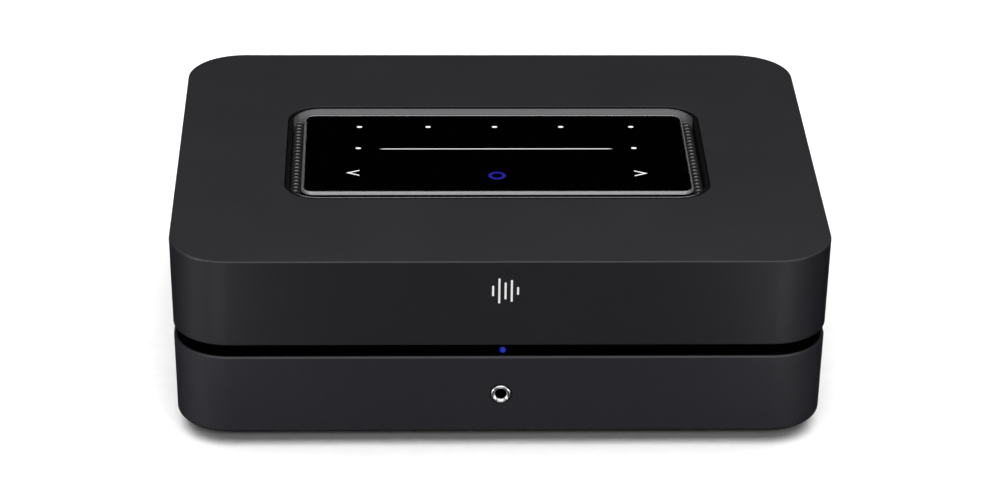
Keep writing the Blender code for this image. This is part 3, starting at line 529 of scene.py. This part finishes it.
def combine(target, tools, operation="DIFFERENCE"):
    """Cuts tools out of the target, or joins them to it, and removes them."""
    for tool in tools:
        modifier = target.modifiers.new("combine", "BOOLEAN")
        modifier.operation = operation
        modifier.solver = "EXACT"
        modifier.material_mode = "TRANSFER"
        modifier.object = tool
    graph = bpy.context.evaluated_depsgraph_get()
    mesh = bpy.data.meshes.new_from_object(target.evaluated_get(graph))
    target.modifiers.clear()
    target.data = mesh
    for tool in tools:
        bpy.data.objects.remove(tool)
    target.data.shade_smooth()
    target.data.set_sharp_from_angle(angle=math.radians(30))


def smooth_flats(target):
    """Keeps flat faces flat beside their small rounded edges."""
    modifier = target.modifiers.new("flats", "WEIGHTED_NORMAL")
    modifier.keep_sharp = True
    modifier.weight = 50


def paint(piece, finish, chosen):
    """Gives the chosen faces of a piece another finish."""
    piece.data.materials.append(finish_of(finish))
    for face in piece.data.polygons:
        if chosen(face):
            face.material_index = len(piece.data.materials) - 1


def place(piece, nodes=(), body="chassis"):
    """Rides a finished piece on its body and hides the CAD nodes it stands for."""
    smooth_flats(piece)
    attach(piece, body)
    if nodes:
        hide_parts(*nodes)


# ---------------------------------------- case

def rear_opening(low_z, high_z):
    """A cutter for the part of the rear opening that lies between two heights."""
    return boxes("cut", [((-OPENING_HALF, REAR_Y - 8 * MM, low_z), (OPENING_HALF, REAR_Y + 8 * MM, high_z))],
                 None)


def upper_shell():
    """Upper shell: sides, flat top, the well with its collar and the opening for the rear panel."""
    outer = [case_loop(UPPER_RIM_Z + RIM_EDGE - RIM_EDGE * cos, RIM_EDGE - RIM_EDGE * sin)
             for sin, cos in quarter(4)]
    outer += [case_loop(HEIGHT - TOP_EDGE + TOP_EDGE * sin, TOP_EDGE - TOP_EDGE * cos)
              for sin, cos in quarter(6)]
    wall = TRIM_THICK + GAP
    well = [well_loop(HEIGHT - WELL_EDGE + WELL_EDGE * cos, wall + WELL_EDGE - WELL_EDGE * sin)
            for sin, cos in quarter(4)]
    well += [well_loop(COLLAR_Z, wall)]
    inside = [well_loop(COLLAR_Z, COLLAR_WALL), well_loop(HEIGHT - WALL, COLLAR_WALL),
              case_loop(HEIGHT - WALL, WALL), case_loop(UPPER_RIM_Z, WALL)]
    shell = loft("upper_shell", outer + well + inside, "case", closed=True)
    combine(shell, [rear_opening(UPPER_RIM_Z - 10 * MM, OPENING_HIGH_Z)])
    place(shell, ["upper_case"])
    reached_by("shells").objects.link(shell)


def lower_shell():
    """Lower shell: an open tub with a rounded bottom edge, a stepped rim, holes and air intake slots, in a
    lighter copy of the case finish as painted bounce light.
    """
    loops = [case_loop(BASE_Z + BASE_EDGE - BASE_EDGE * cos, BASE_EDGE - BASE_EDGE * sin)
             for sin, cos in quarter(8)]
    loops += [case_loop(z, inset) for z, inset in (
        (LOWER_RIM_Z - LOWER_CHAMFER, 0), (LOWER_RIM_Z, LOWER_CHAMFER), (LOWER_RIM_Z, LIP_WIDTH),
        (LOWER_RIM_Z - LIP_HEIGHT, LIP_WIDTH), (LOWER_RIM_Z - LIP_HEIGHT, WALL), (FLOOR_Z, WALL))]
    # painted light: the lighter case finish stands in for light bounced from the floor
    shell = loft("lower_shell", loops, "case_lower_painted_bounce")
    cutters = [rear_opening(OPENING_LOW_Z, LOWER_RIM_Z + 10 * MM)]
    face = FRONT_Y + DRAFT * (HEIGHT - JACK_CENTRE[2])
    cutters.append(lathe("cut", JACK_CENTRE,
                         [(JACK_RING_RADIUS + GAP + 0.3 * MM, FRONT_Y - WALL),
                          (JACK_RING_RADIUS + GAP + 0.3 * MM, face - 0.02 * MM),
                          (JACK_RING_RADIUS + GAP, face + 0.28 * MM),
                          (JACK_RING_RADIUS + GAP, FRONT_Y + 3 * WALL)], "Y", None))
    for side_x in (-1, 1):
        for side_y in (-1, 1):
            centre = (side_x * SCREW_X, CASE_Y + side_y * SCREW_Y, 0)
            profile = [(SCREW_HOLE_MOUTH, BASE_Z - 1 * MM), (SCREW_HOLE_MOUTH, BASE_Z + 0.001 * MM),
                       (SCREW_HOLE_RADIUS, BASE_Z + 0.4 * MM), (SCREW_HOLE_RADIUS, FLOOR_Z + 1 * MM)]
            cutters.append(lathe("cut", centre, profile, "Z", None, steps=32))
    for index in range(INTAKE_SLOTS):
        x = (index - INTAKE_SLOTS // 2) * INTAKE_PITCH
        loops = [rounded_loop(INTAKE_HALF_X, INTAKE_HALF_Y, INTAKE_HALF_X - 0.01 * MM, z, (x, CASE_Y), 6)
                 for z in (BASE_Z - 1 * MM, FLOOR_Z + 1 * MM)]
        cutters.append(loft("cut", loops, None))
    combine(shell, cutters)
    place(shell, ["lower_case"])
    reached_by("shells").objects.link(shell)


def waist():
    """Inner band seen in the slot, near black as painted shade."""
    low = 29.5 * MM
    high = 43.9 * MM
    flange_top = LOWER_RIM_Z - 0.15 * MM
    flange_low = LOWER_RIM_Z - LIP_HEIGHT + GAP
    flange = LIP_WIDTH + GAP
    inner = SLOT_DEPTH + 3 * MM
    section = [(low, inner), (low, SLOT_DEPTH), (flange_low, SLOT_DEPTH), (flange_low, flange),
               (flange_top, flange), (flange_top, SLOT_DEPTH), (high, SLOT_DEPTH), (high, inner)]
    # the band is painted near black: painted shade in the slot
    band = loft("waist_band", [case_loop(z, inset) for z, inset in section], "painted_shade_black", closed=True)
    combine(band, [boxes("cut", [((-OPENING_HALF - 4 * MM, REAR_Y - 16 * MM, 25 * MM),
                                  (OPENING_HALF + 4 * MM, REAR_Y + 5 * MM, 50 * MM))], None),
                   lathe("cut", middle_of("status_light_pipe"),
                         [(1.5 * MM, FRONT_Y), (1.5 * MM, FRONT_Y + 15 * MM)], "Y", None, steps=32)])
    place(band, ["waist_frame"])


# ---------------------------------------- touch panel

def touch_panel():
    """Black glass in a satin metal bezel, with painted shade, near black, where the bezel faces sideways or
    down.
    """
    edge = 0.15 * MM
    glass = loft("panel_glass", [glass_loop(GLASS_LOW.z, 0)]
                 + [glass_loop(HEIGHT - edge + edge * sin, edge * cos - edge) for sin, cos in quarter(3)],
                 "panel_glass")
    place(glass, ["touch_glass"])
    outer = GAP + 0.7 * MM
    round_edge = 0.12 * MM
    section = [(HEIGHT - 0.1 * MM, GAP), (HEIGHT, GAP + 0.1 * MM), (HEIGHT, GAP + 0.14 * MM)]
    section += [(HEIGHT - 0.04 * MM, GAP + 0.2 * MM), (HEIGHT - 0.92 * MM, outer - 0.04 * MM),
                (HEIGHT - 1.0 * MM, outer)]
    ledge_top = GLASS_LOW.z - GAP
    section += [(ledge_top - 0.3 * MM + round_edge, outer), (ledge_top - 0.3 * MM, outer - round_edge),
                (ledge_top - 0.3 * MM, outer - 1.2 * MM), (ledge_top - 0.8 * MM, outer - 1.2 * MM),
                (ledge_top - 0.8 * MM, -2 * MM), (ledge_top, -2 * MM), (ledge_top, GAP)]
    bezel = loft("bezel", [glass_loop(z, grow) for z, grow in section], "bezel_metal", closed=True)
    # painted shade: the bezel's sides and underside are painted near black
    paint(bezel, "painted_shade_black", lambda face: face.normal.z < 0.2)
    place(bezel, ["panel_bezel"])


def well_trim():
    """Band that lines the well, near black on its sides as painted shade, with painted light on its rear wall
    and a half-lit step where it turns, and the fine ridge along its rim.
    """
    ridge = HEIGHT - 0.15 * MM
    low = HEIGHT - 0.27 * MM
    section = [(COLLAR_Z, TRIM_THICK), (COLLAR_Z, 0), (low, 0), (low, TRIM_THICK)]
    band = loft("trim_band", [well_loop(z, grow) for z, grow in section], "painted_shade_black", closed=True)
    # painted light: faces turned towards the front get lighter copies of the wall finish, the rest stays near
    # black as painted shade
    paint(band, "painted_half_lit_wall", lambda face: face.normal.y < -0.2)
    paint(band, "painted_lit_wall", lambda face: face.normal.y < -0.64)
    place(band, ["well_trim"])
    reached_by("trim").objects.link(band)

    section = [(low, 0), (ridge - 0.04 * MM, 0), (ridge, 0.04 * MM), (ridge, 0.1 * MM), (low, 0.24 * MM)]
    # the ridge's sides are near black as painted shade; its top is the real metal
    rim = loft("trim_ridge", [well_loop(z, grow) for z, grow in section], "painted_shade_black", closed=True)
    paint(rim, "trim_top", lambda face: face.normal.z > 0.3)
    place(rim)


def flat_icon(name, outlines, finish, holes=()):
    """A thin lit icon on the glass: one closed slab for each outline, or a ring where it has a hole."""
    shape = bmesh.new()
    for index, outline in enumerate(outlines):
        loops = [[shape.verts.new((x, CASE_Y + y, HEIGHT + z)) for x, y in outline] for z in ICON_Z]
        if holes:
            inner = [[shape.verts.new((x, CASE_Y + y, HEIGHT + z)) for x, y in holes[index]]
                     for z in reversed(ICON_Z)]
            ring_faces(shape, loops + inner, True)
        else:
            ring_faces(shape, loops, False)
            shape.faces.new(list(reversed(loops[0])))
            shape.faces.new(loops[1])
    piece = add_mesh(name, shape, finish)
    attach(piece, "chassis")


def ellipse(x, y, half_x, half_y, steps=24):
    """Points of an ellipse."""
    return [(x + half_x * math.cos(2 * math.pi * i / steps), y + half_y * math.sin(2 * math.pi * i / steps))
            for i in range(steps)]


def icons():
    """Lit icons: a row of dots, a slider between two dots, two arrows and a ring."""
    dots = [ellipse(x * MM, y * MM, 0.95 * MM, 0.66 * MM) for x, y in ICON_DOTS]
    flat_icon("icon_dots", dots, "icon_white")
    slider = [(-40.4, 0), (-38.8, -0.22), (39.2, -0.22), (40.9, 0), (39.2, 0.22), (-38.8, 0.22)]
    flat_icon("icon_slider", [[(x * MM, (SLIDER_Y + y) * MM) for x, y in slider]], "icon_white")
    for name, side, arrow_y in (("previous", -1, -17.0), ("next", 1, -17.6)):
        tip, end = 51.8 * side, 47.3 * side
        arrow = [(tip, 0), (end, 2.25), (end, 1.65), (tip - 1.25 * side, 0), (end, -1.65), (end, -2.25)]
        flat_icon(f"icon_{name}", [[(x * MM, (y + arrow_y) * MM) for x, y in arrow]], "icon_white")
    outline, hole = [ellipse(0, RING_ICON_Y, radius, radius, 48) for radius in RING_ICON_RADII]
    flat_icon("icon_ring", [outline], "icon_blue", holes=[hole])


def vents():
    """Arched ribs over a frame painted near black as painted shade, one strip at each end of the well."""
    first = WELL_Y - (VENT_RIBS - 1) / 2 * VENT_PITCH
    for name in ("left", "right"):
        low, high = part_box(f"vent_grille_{name}")
        middle = (low.x + high.x) / 2
        half_x = (high.x - low.x) / 2 + 0.05 * MM
        shape = bmesh.new()
        for index in range(VENT_RIBS):
            y = first + index * VENT_PITCH
            rings = []
            for step in range(RIB_STEPS + 1):
                across = (step - RIB_STEPS / 2) / (RIB_STEPS / 2)
                top = high.z - RIB_ARCH * across ** 2
                section = [(y - RIB_HALF, low.z + 0.3 * MM)]
                section += [(y + side * RIB_HALF, top + drop * MM) for side, drop in RIB_CROWN]
                section += [(y + RIB_HALF, low.z + 0.3 * MM)]
                rings.append([shape.verts.new((middle + across * half_x, yy, zz)) for yy, zz in section])
            ring_faces(shape, rings, False)
            shape.faces.new(list(reversed(rings[0])))
            shape.faces.new(rings[-1])
        ribs = add_mesh(f"vent_ribs_{name}", shape, "vent_black", sharp=50)
        place(ribs, [f"vent_grille_{name}"])
        frame_box = ((low.x + 0.05 * MM, low.y, low.z), (high.x - 0.05 * MM, high.y, low.z + 0.35 * MM))
        # painted shade: the frame under the ribs is near black
        base = boxes(f"vent_frame_{name}", [frame_box], "painted_shade_black", edge=0.05 * MM, segments=1)
        place(base)


# ---------------------------------------- front

def front_pieces():
    """Status light, the headphone socket's ring and a plain printed mark that glows white as painted light.
    """
    low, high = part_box("status_light_pipe")
    centre = (low + high) / 2
    radius = (high.z - low.z) / 2
    dome = [(radius * cos, low.y + 0.5 * MM - 0.5 * MM * sin) for sin, cos in reversed(quarter(6)[:-1])]
    light = lathe("status_lens", centre, [(0.1 * MM, low.y)] + dome + [(radius, high.y)], "Y",
                  "status_light", steps=32)
    place(light, ["status_light_pipe"])

    profile = [(radius * MM, RING_LOW.y + depth * MM) for radius, depth in RING_PROFILE]
    profile += [(2.68 * MM, RING_HIGH.y), (JACK_RING_RADIUS, RING_HIGH.y)]
    ring = lathe("headphone_nut", JACK_CENTRE, profile, "Y", "ring_metal", closed=True, steps=64, sharp=50)
    place(ring, ["headphone_ring"])
    reached_by("ring").objects.link(ring)

    bars = []
    for index, half_z in enumerate(MARK_BARS):
        x = (MARK_X + (index - 2) * MARK_PITCH) * MM
        bars.append(around(x, MARK_BAR * MM, -0.06 * MM, 0.3 * MM, (MARK_Z - half_z) * MM,
                           (MARK_Z + half_z) * MM))
    # the mark glows as painted light
    mark = boxes("level_mark", bars, "mark_painted_glow", edge=0.05 * MM, segments=1)
    for vertex in mark.data.vertices:
        vertex.co.y += FRONT_Y + DRAFT * (HEIGHT - vertex.co.z)
    place(mark)


def headphone_socket():
    """Black plastic socket behind the ring, with a rounded mouth."""
    low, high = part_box("headphone_socket")
    nose = JACK_NOSE_RADIUS
    mouth = RING_LOW.y + 1.4 * MM
    body = boxes("headphone_body", [((low.x, mouth + 5 * MM, low.z), high)], "black_plastic", edge=0.4 * MM)
    front = lathe("nose", JACK_CENTRE, [(nose - 0.15 * MM, mouth), (nose, mouth + 0.15 * MM),
                                        (nose, mouth + 6 * MM)], "Y", "black_plastic")
    combine(body, [front], "UNION")
    # the bore is painted near black as painted shade
    bore = lathe("bore", JACK_CENTRE, [(JACK_BORE_RADIUS + 0.25 * MM, mouth - 1 * MM),
                                       (JACK_BORE_RADIUS + 0.25 * MM, mouth),
                                       (JACK_BORE_RADIUS, mouth + 0.25 * MM),
                                       (JACK_BORE_RADIUS, mouth + 14 * MM)], "Y", "painted_shade_black")
    combine(body, [bore])
    place(body, ["headphone_socket"])


# ---------------------------------------- underside

def feet():
    """Round rubber feet with a ring groove in the sole."""
    for node in ("foot_front_left", "foot_front_right", "foot_rear_left", "foot_rear_right"):
        low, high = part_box(node)
        radius = (high.x - low.x) / 2
        edge = 0.9 * MM
        profile = [(5.2 * MM, 0.6 * MM), (5.5 * MM, 0.1 * MM), (5.7 * MM, 0)]
        profile += [(radius - edge + edge * sin, edge - edge * cos) for sin, cos in quarter(5)]
        profile += [(radius, high.z - 0.2 * MM), (radius - 0.2 * MM, high.z)]
        foot = lathe(node.replace("foot", "pad"), (low + high) / 2, profile, "Z", "foot_rubber", steps=64)
        place(foot, [node])


def case_screws():
    """Black screws with domed heads and hexagonal recesses."""
    for index in range(1, 5):
        low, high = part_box(f"case_screw_{index}")
        centre = (low + high) / 2
        head = (high.x - low.x) / 2
        neck = FLOOR_Z - GAP
        dome = 0.5 * MM
        profile = [(head - 1.2 * MM, low.z)]
        profile += [(head - 0.6 * MM + 0.6 * MM * sin, low.z + dome - dome * cos) for sin, cos in quarter(5)]
        profile += [(head, neck), (SCREW_SHANK, neck), (SCREW_SHANK, high.z - 0.6 * MM),
                    (SCREW_SHANK - 0.6 * MM, high.z)]
        screw = lathe(f"screw_{index}", centre, profile, "Z", "screw_steel", steps=40)
        recess = lathe("recess", centre, [(SCREW_HEX, low.z - 1 * MM), (SCREW_HEX, low.z + 1.5 * MM)], "Z",
                       "screw_steel", steps=6)
        combine(screw, [recess])
        place(screw, [f"case_screw_{index}"])


# ---------------------------------------- rear

def middle_of(node):
    """The middle of a CAD node's box."""
    low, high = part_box(node)
    return (low + high) / 2


def panel_holes():
    """Cutters for the rear panel: one for every socket and post."""
    low_y, high_y = PANEL_LOW_Y - 5 * MM, PANEL_Y + 5 * MM
    tools = []
    for node in ("ethernet_socket", "usb_socket", "optical_socket", "mains_inlet"):
        low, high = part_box(node)
        hole = ((low.x - GAP, low_y, low.z - GAP), (high.x + GAP, high_y, high.z + GAP))
        tools.append(boxes("hole", [hole], None))
    rounds = [(middle_of(f"post_stud_{name}"), POST_BORE + 1 * MM) for name in POSTS]
    rounds += [(middle_of(f"{name}_shell"), 4.45 * MM) for name, _ in AUDIO_SOCKETS]
    tools += [lathe("hole", centre, [(radius, low_y), (radius, high_y)], "Y", None)
              for centre, radius in rounds]
    return tools


def rear_panel():
    """Painted steel panel with its holes and six small screws."""
    low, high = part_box("rear_panel")
    plate = boxes("rear_plate", [(low, high)], "rear_steel")
    combine(plate, panel_holes())
    place(plate, ["rear_panel"])
    shape = bmesh.new()
    for x, z in PANEL_SCREWS:
        centre = (x * MM, 0, z * MM)
        profile = [(2.4 * MM, PANEL_Y + 0.02 * MM), (2.4 * MM, PANEL_Y + 0.3 * MM),
                   (2.1 * MM, PANEL_Y + 0.7 * MM), (1.4 * MM, PANEL_Y + 0.95 * MM)]
        rings = [[shape.verts.new(point) for point in circle(centre, radius, "Y", y, 32)]
                 for radius, y in profile]
        rings += [[shape.verts.new(point) for point in hexagon(centre, 1.0 * MM, PANEL_Y + y, 32)]
                  for y in (0.95 * MM, 0.25 * MM)]
        ring_faces(shape, rings, False)
        shape.faces.new(list(reversed(rings[0])))
        shape.faces.new(rings[-1])
    screws = add_mesh("panel_screws", shape, "screw_steel")
    place(screws)


def hexagon(centre, half_flat, y, steps):
    """A hexagon about a Y axis, sampled at as many points as a circle."""
    points = []
    for step in range(steps):
        angle = 2 * math.pi * step / steps
        off = (angle + math.pi / 6) % (math.pi / 3) - math.pi / 6
        radius = half_flat / math.cos(off)
        points.append((centre[0] + radius * math.cos(angle), y, centre[2] + radius * math.sin(angle)))
    return points


def network_socket():
    """Metal network socket with a black throat, gold contacts and two small lamps."""
    low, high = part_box("ethernet_socket")
    x = (low.x + high.x) / 2
    face = high.y
    body = boxes("network_shell", [(low, high)], "bright_metal", edge=0.25 * MM)
    combine(body, [boxes("throat", [around(x, 5.9 * MM, face - 14 * MM, face + 2 * MM, low.z + 3.2 * MM,
                                           high.z - 2 * MM)], "black_plastic"),
                   boxes("latch", [around(x, 3 * MM, face - 8 * MM, face + 2 * MM, low.z + 1 * MM,
                                          low.z + 4 * MM)], "black_plastic")])
    place(body, ["ethernet_socket"])
    first = x - (PIN_CONTACTS - 1) / 2 * PIN_PITCH
    contacts = [around(first + index * PIN_PITCH, 0.2 * MM, face - 14 * MM, face - 3.5 * MM,
                       high.z - 2.9 * MM, high.z - 2.6 * MM) for index in range(PIN_CONTACTS)]
    place(boxes("network_contacts", contacts, "gold_metal", edge=0.05 * MM, segments=1))
    lamps = [around(x + side * 6.7 * MM, 0.45 * MM, face - 0.1 * MM, face + 0.06 * MM, high.z - 3.6 * MM,
                    high.z - 1.6 * MM) for side in (-1, 1)]
    place(boxes("network_lamps", lamps, "lamp_lens", edge=0.04 * MM, segments=1))


def usb_socket():
    """Metal USB socket with a tongue and four contacts."""
    low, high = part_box("usb_socket")
    x = (low.x + high.x) / 2
    face = high.y
    body = boxes("data_shell", [(low, high)], "bright_metal", edge=0.35 * MM)
    combine(body, [boxes("throat", [around(x, 6.3 * MM, face - 10 * MM, face + 2 * MM, low.z + 1 * MM,
                                           high.z - 1 * MM)], "bright_metal")])
    place(body, ["usb_socket"])
    tongue = [around(x, 5.3 * MM, face - 10 * MM, face - 0.8 * MM, high.z - 3.4 * MM, high.z - 1.6 * MM)]
    place(boxes("data_tongue", tongue, "white_plastic", edge=0.2 * MM))
    pads = [around(x + offset * MM, 0.5 * MM, face - 9 * MM, face - 1.4 * MM, high.z - 3.52 * MM,
                   high.z - 3.38 * MM) for offset in (-3.5, -1.2, 1.2, 3.5)]
    place(boxes("data_contacts", pads, "gold_metal"))


def optical_socket():
    """Optical socket with its sprung flap."""
    low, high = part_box("optical_socket")
    x = (low.x + high.x) / 2
    face = high.y
    half = 4 * MM
    roof = high.z - 1.2 * MM
    body = boxes("optical_shell", [(low, high)], "black_plastic", edge=0.3 * MM)
    # the throat is painted near black as painted shade
    combine(body, [boxes("throat", [around(x, half, face - 11 * MM, face + 2 * MM, roof - 2 * half, roof)],
                         "painted_shade_black")])
    place(body, ["optical_socket"])
    low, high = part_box("optical_flap")
    door = boxes("optical_door", [(low, high)], "black_plastic", edge=0.18 * MM, segments=3)
    lip = boxes("lip", [around(x, 1.6 * MM, high.y - 0.3 * MM, high.y + 0.25 * MM, low.z + 0.8 * MM,
                               low.z + 1.3 * MM)], "black_plastic", edge=0.1 * MM, segments=1)
    combine(door, [lip], "UNION")
    place(door, ["optical_flap"], "optical_flap")


def audio_sockets():
    """Phono sockets: bright shell and nut, coloured insulating core and inner contact."""
    for name, finish in AUDIO_SOCKETS:
        low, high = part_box(f"{name}_shell")
        centre = (low + high) / 2
        end = high.y
        barrel = 4.15 * MM
        flange = PANEL_Y + GAP
        profile = [(barrel, low.y), (barrel, flange), (5.4 * MM, flange), (5.6 * MM, flange + 0.2 * MM),
                   (5.6 * MM, flange + 0.9 * MM), (5.2 * MM, flange + 1.3 * MM), (barrel, flange + 1.3 * MM),
                   (barrel - 0.12 * MM, flange + 1.5 * MM), (barrel - 0.12 * MM, flange + 2.1 * MM),
                   (barrel, flange + 2.3 * MM), (barrel, end - 0.25 * MM), (barrel - 0.2 * MM, end),
                   (3.65 * MM, end), (3.5 * MM, end - 0.15 * MM), (3.5 * MM, PANEL_Y - 5 * MM)]
        shell = lathe(f"{name}_barrel", centre, profile, "Y", "bright_metal", steps=64)
        place(shell, [f"{name}_shell"])
        low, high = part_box(f"{name}_core")
        end = high.y
        profile = [(3.2 * MM, low.y), (3.2 * MM, end - 0.3 * MM), (2.9 * MM, end), (2.0 * MM, end),
                   (1.85 * MM, end - 0.4 * MM), (1.6 * MM, end - 0.6 * MM), (1.6 * MM, low.y + 2 * MM)]
        core = lathe(f"{name}_insert", centre, profile, "Y", finish)
        place(core, [f"{name}_core"])
        profile = [(1.58 * MM, low.y + 2.2 * MM), (1.58 * MM, end - 1.2 * MM), (1.5 * MM, end - 1.1 * MM),
                   (1.3 * MM, end - 1.2 * MM), (1.3 * MM, low.y + 2.2 * MM)]
        contact = lathe(f"{name}_contact", centre, profile, "Y", "gold_metal", closed=True)
        place(contact)


def mains_inlet():
    """Two-pin mains inlet with a rounded recess."""
    low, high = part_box("mains_inlet")
    centre = (low + high) / 2
    face = high.y
    body = boxes("mains_housing", [(low, high)], "black_plastic", edge=0.5 * MM, segments=3)
    half_x, half_z = 9.8 * MM, 4.6 * MM
    loops = []
    for y, grow in ((face - 15 * MM, 0), (face - 0.4 * MM, 0), (face + 0.001 * MM, 0.4 * MM),
                    (face + 2 * MM, 0.4 * MM)):
        loops.append([(px, y, pz) for px, pz, _ in
                      rounded_loop(half_x + grow, half_z + grow, half_z + grow - 0.1 * MM, 0,
                                   (centre.x, centre.z), 16)])
    combine(body, [loft("recess", loops, "black_plastic")])
    place(body, ["mains_inlet"])
    for side in ("left", "right"):
        low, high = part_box(f"mains_pin_{side}")
        centre = (low + high) / 2
        radius = (high.x - low.x) / 2
        profile = [(radius, low.y), (radius, high.y - 0.8 * MM)]
        profile += [(radius - 0.6 * MM + 0.6 * MM * cos, high.y - 0.8 * MM + 0.8 * MM * sin)
                    for sin, cos in quarter(5)][1:]
        pin = lathe(f"inlet_pin_{side}", centre, profile, "Y", "bright_metal")
        place(pin, [f"mains_pin_{side}"])


def fluted_circle(centre, radius, y, depth):
    """A circle with shallow flutes, for a knob's grip."""
    points = []
    for step in range(KNOB_STEPS):
        angle = 2 * math.pi * step / KNOB_STEPS
        wave = 0.5 - 0.5 * math.cos(angle * FLUTES)
        r = radius - depth * wave ** 0.7
        points.append((centre[0] + r * math.cos(angle), y, centre[2] + r * math.sin(angle)))
    return points


def speaker_posts():
    """Terminal block with four posts, each with a gold stud and washer and a fluted knob."""
    low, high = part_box("terminal_block")
    plate_face = PANEL_Y + GAP + 3 * MM
    block = boxes("post_base", [(low, (high.x, plate_face, high.z))], "black_plastic", edge=0.6 * MM,
                  segments=3)
    collars, bores = [], []
    for name in POSTS:
        centre = middle_of(f"post_stud_{name}")
        profile = [(6.5 * MM, plate_face - 1 * MM), (6.5 * MM, high.y - 0.3 * MM), (6.2 * MM, high.y)]
        collars.append(lathe("collar", centre, profile, "Y", "black_plastic", steps=64))
        bores.append(lathe("bore", centre, [(POST_BORE, low.y - 1 * MM), (POST_BORE, high.y + 1 * MM)], "Y",
                           "black_plastic"))
    combine(block, collars, "UNION")
    combine(block, bores)
    place(block, ["terminal_block"])
    signs = []
    sign_z = POST_ROW_Z - SIGN_DROP
    for name in POSTS:
        x = middle_of(f"post_stud_{name}").x
        signs.append(around(x, 0.9 * MM, plate_face - 0.1 * MM, plate_face + 0.08 * MM, sign_z - 0.17 * MM,
                            sign_z + 0.17 * MM))
        if name.endswith("plus"):
            for side in (-1, 1):
                middle = sign_z + side * 0.54 * MM
                signs.append(around(x, 0.17 * MM, plate_face - 0.1 * MM, plate_face + 0.08 * MM,
                                    middle - 0.36 * MM, middle + 0.36 * MM))
    place(boxes("polarity_signs", signs, "white_plastic"))

    for name in POSTS:
        low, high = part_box(f"post_stud_{name}")
        centre = (low + high) / 2
        profile = [(STUD_RADIUS - 0.3 * MM, low.y), (STUD_RADIUS, low.y + 0.3 * MM),
                   (STUD_RADIUS, high.y - 0.4 * MM), (STUD_RADIUS - 0.4 * MM, high.y)]
        stud = lathe(f"stud_{name}", centre, profile, "Y", "gold_metal")
        place(stud, [f"post_stud_{name}"])
        low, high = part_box(f"post_washer_{name}")
        radius = (high.x - low.x) / 2
        edge = 0.25 * MM
        profile = [(radius - edge, low.y), (radius, low.y + edge), (radius, high.y - edge),
                   (radius - edge, high.y), (POST_BORE, high.y), (POST_BORE, low.y)]
        washer = lathe(f"washer_{name}", centre, profile, "Y", "gold_metal", closed=True, steps=64)
        place(washer, [f"post_washer_{name}"], f"washer_{name}")
        speaker_knob(name, centre)


def speaker_knob(name, centre):
    """A fluted knob with a smooth collar at its foot and a gold-lined plug hole in its end."""
    low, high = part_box(f"post_knob_{name}")
    radius = KNOB_RADIUS
    stud_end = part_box(f"post_stud_{name}")[1].y
    start, end = low.y, high.y
    outside = [(radius - 0.7 * MM, start, 0), (radius - 0.1 * MM, start + 0.4 * MM, 0),
               (radius, start + 0.7 * MM, 0), (radius, start + 2.2 * MM, 0),
               (radius - 0.05 * MM, start + 2.6 * MM, 0.1 * MM), (radius, start + 3.2 * MM, 0.45 * MM),
               (radius, end - 2.6 * MM, 0.45 * MM), (radius - 0.1 * MM, end - 1.4 * MM, 0.25 * MM),
               (radius - 0.5 * MM, end - 0.5 * MM, 0.05 * MM), (radius - 1.1 * MM, end - 0.08 * MM, 0),
               (radius - 1.5 * MM, end, 0)]
    inside = [(3.1 * MM, end, 0), (2.9 * MM, end - 0.3 * MM, 0), (2.0 * MM, end - 0.3 * MM, 0),
              (2.0 * MM, stud_end + GAP, 0), (POST_BORE, stud_end + GAP, 0), (POST_BORE, start, 0)]
    loops = [fluted_circle(centre, r, y, depth) for r, y, depth in outside + inside]
    plus = name.endswith("plus")
    knob = loft(f"knob_{name}", loops, "red_plastic" if plus else "knob_black", closed=True, sharp=40)
    place(knob, [f"post_knob_{name}"], f"knob_{name}")
    profile = [(1.98 * MM, stud_end + 1 * MM), (1.98 * MM, end - 0.35 * MM), (1.75 * MM, end - 0.45 * MM),
               (1.65 * MM, end - 0.7 * MM), (1.65 * MM, stud_end + 1 * MM)]
    sleeve = lathe(f"plug_sleeve_{name}", centre, profile, "Y", "gold_metal", closed=True)
    place(sleeve, body=f"knob_{name}")


# ---------------------------------------- the whole

# pieces carried over from the CAD model whose finish isn't their slot's own; the tray under the glass is
# painted near black as painted shade
OTHER_FINISH = {"touch_sensor_board": "board_black", "panel_tray": "painted_shade_black"}


def dress_cad_pieces():
    """Gives the CAD model's own pieces their procedural finishes."""
    for subpart in frame["record"]["subparts"]:
        node = frame["nodes"][subpart["node"]]
        slot = subpart["material_slot"]
        if slot == "status_light":
            continue
        node.data.materials.clear()
        node.data.materials.append(finish_of(OTHER_FINISH.get(subpart["node"], slot)))


def group_for_lights():
    """Puts each piece in the whole object's group of lights, and the rear pieces in their own too."""
    for piece in bpy.context.scene.objects:
        if piece.type == "MESH" and piece.name != "floor":
            reached_by("pieces").objects.link(piece)
            if min((piece.matrix_world @ Vector(corner)).y for corner in piece.bound_box) > REAR_PIECES_Y:
                reached_by("rear").objects.link(piece)


add_camera()
add_surroundings()
upper_shell()
lower_shell()
waist()
well_trim()
touch_panel()
icons()
vents()
front_pieces()
headphone_socket()
feet()
case_screws()
rear_panel()
network_socket()
usb_socket()
optical_socket()
audio_sockets()
mains_inlet()
speaker_posts()

dress_cad_pieces()
group_for_lights()
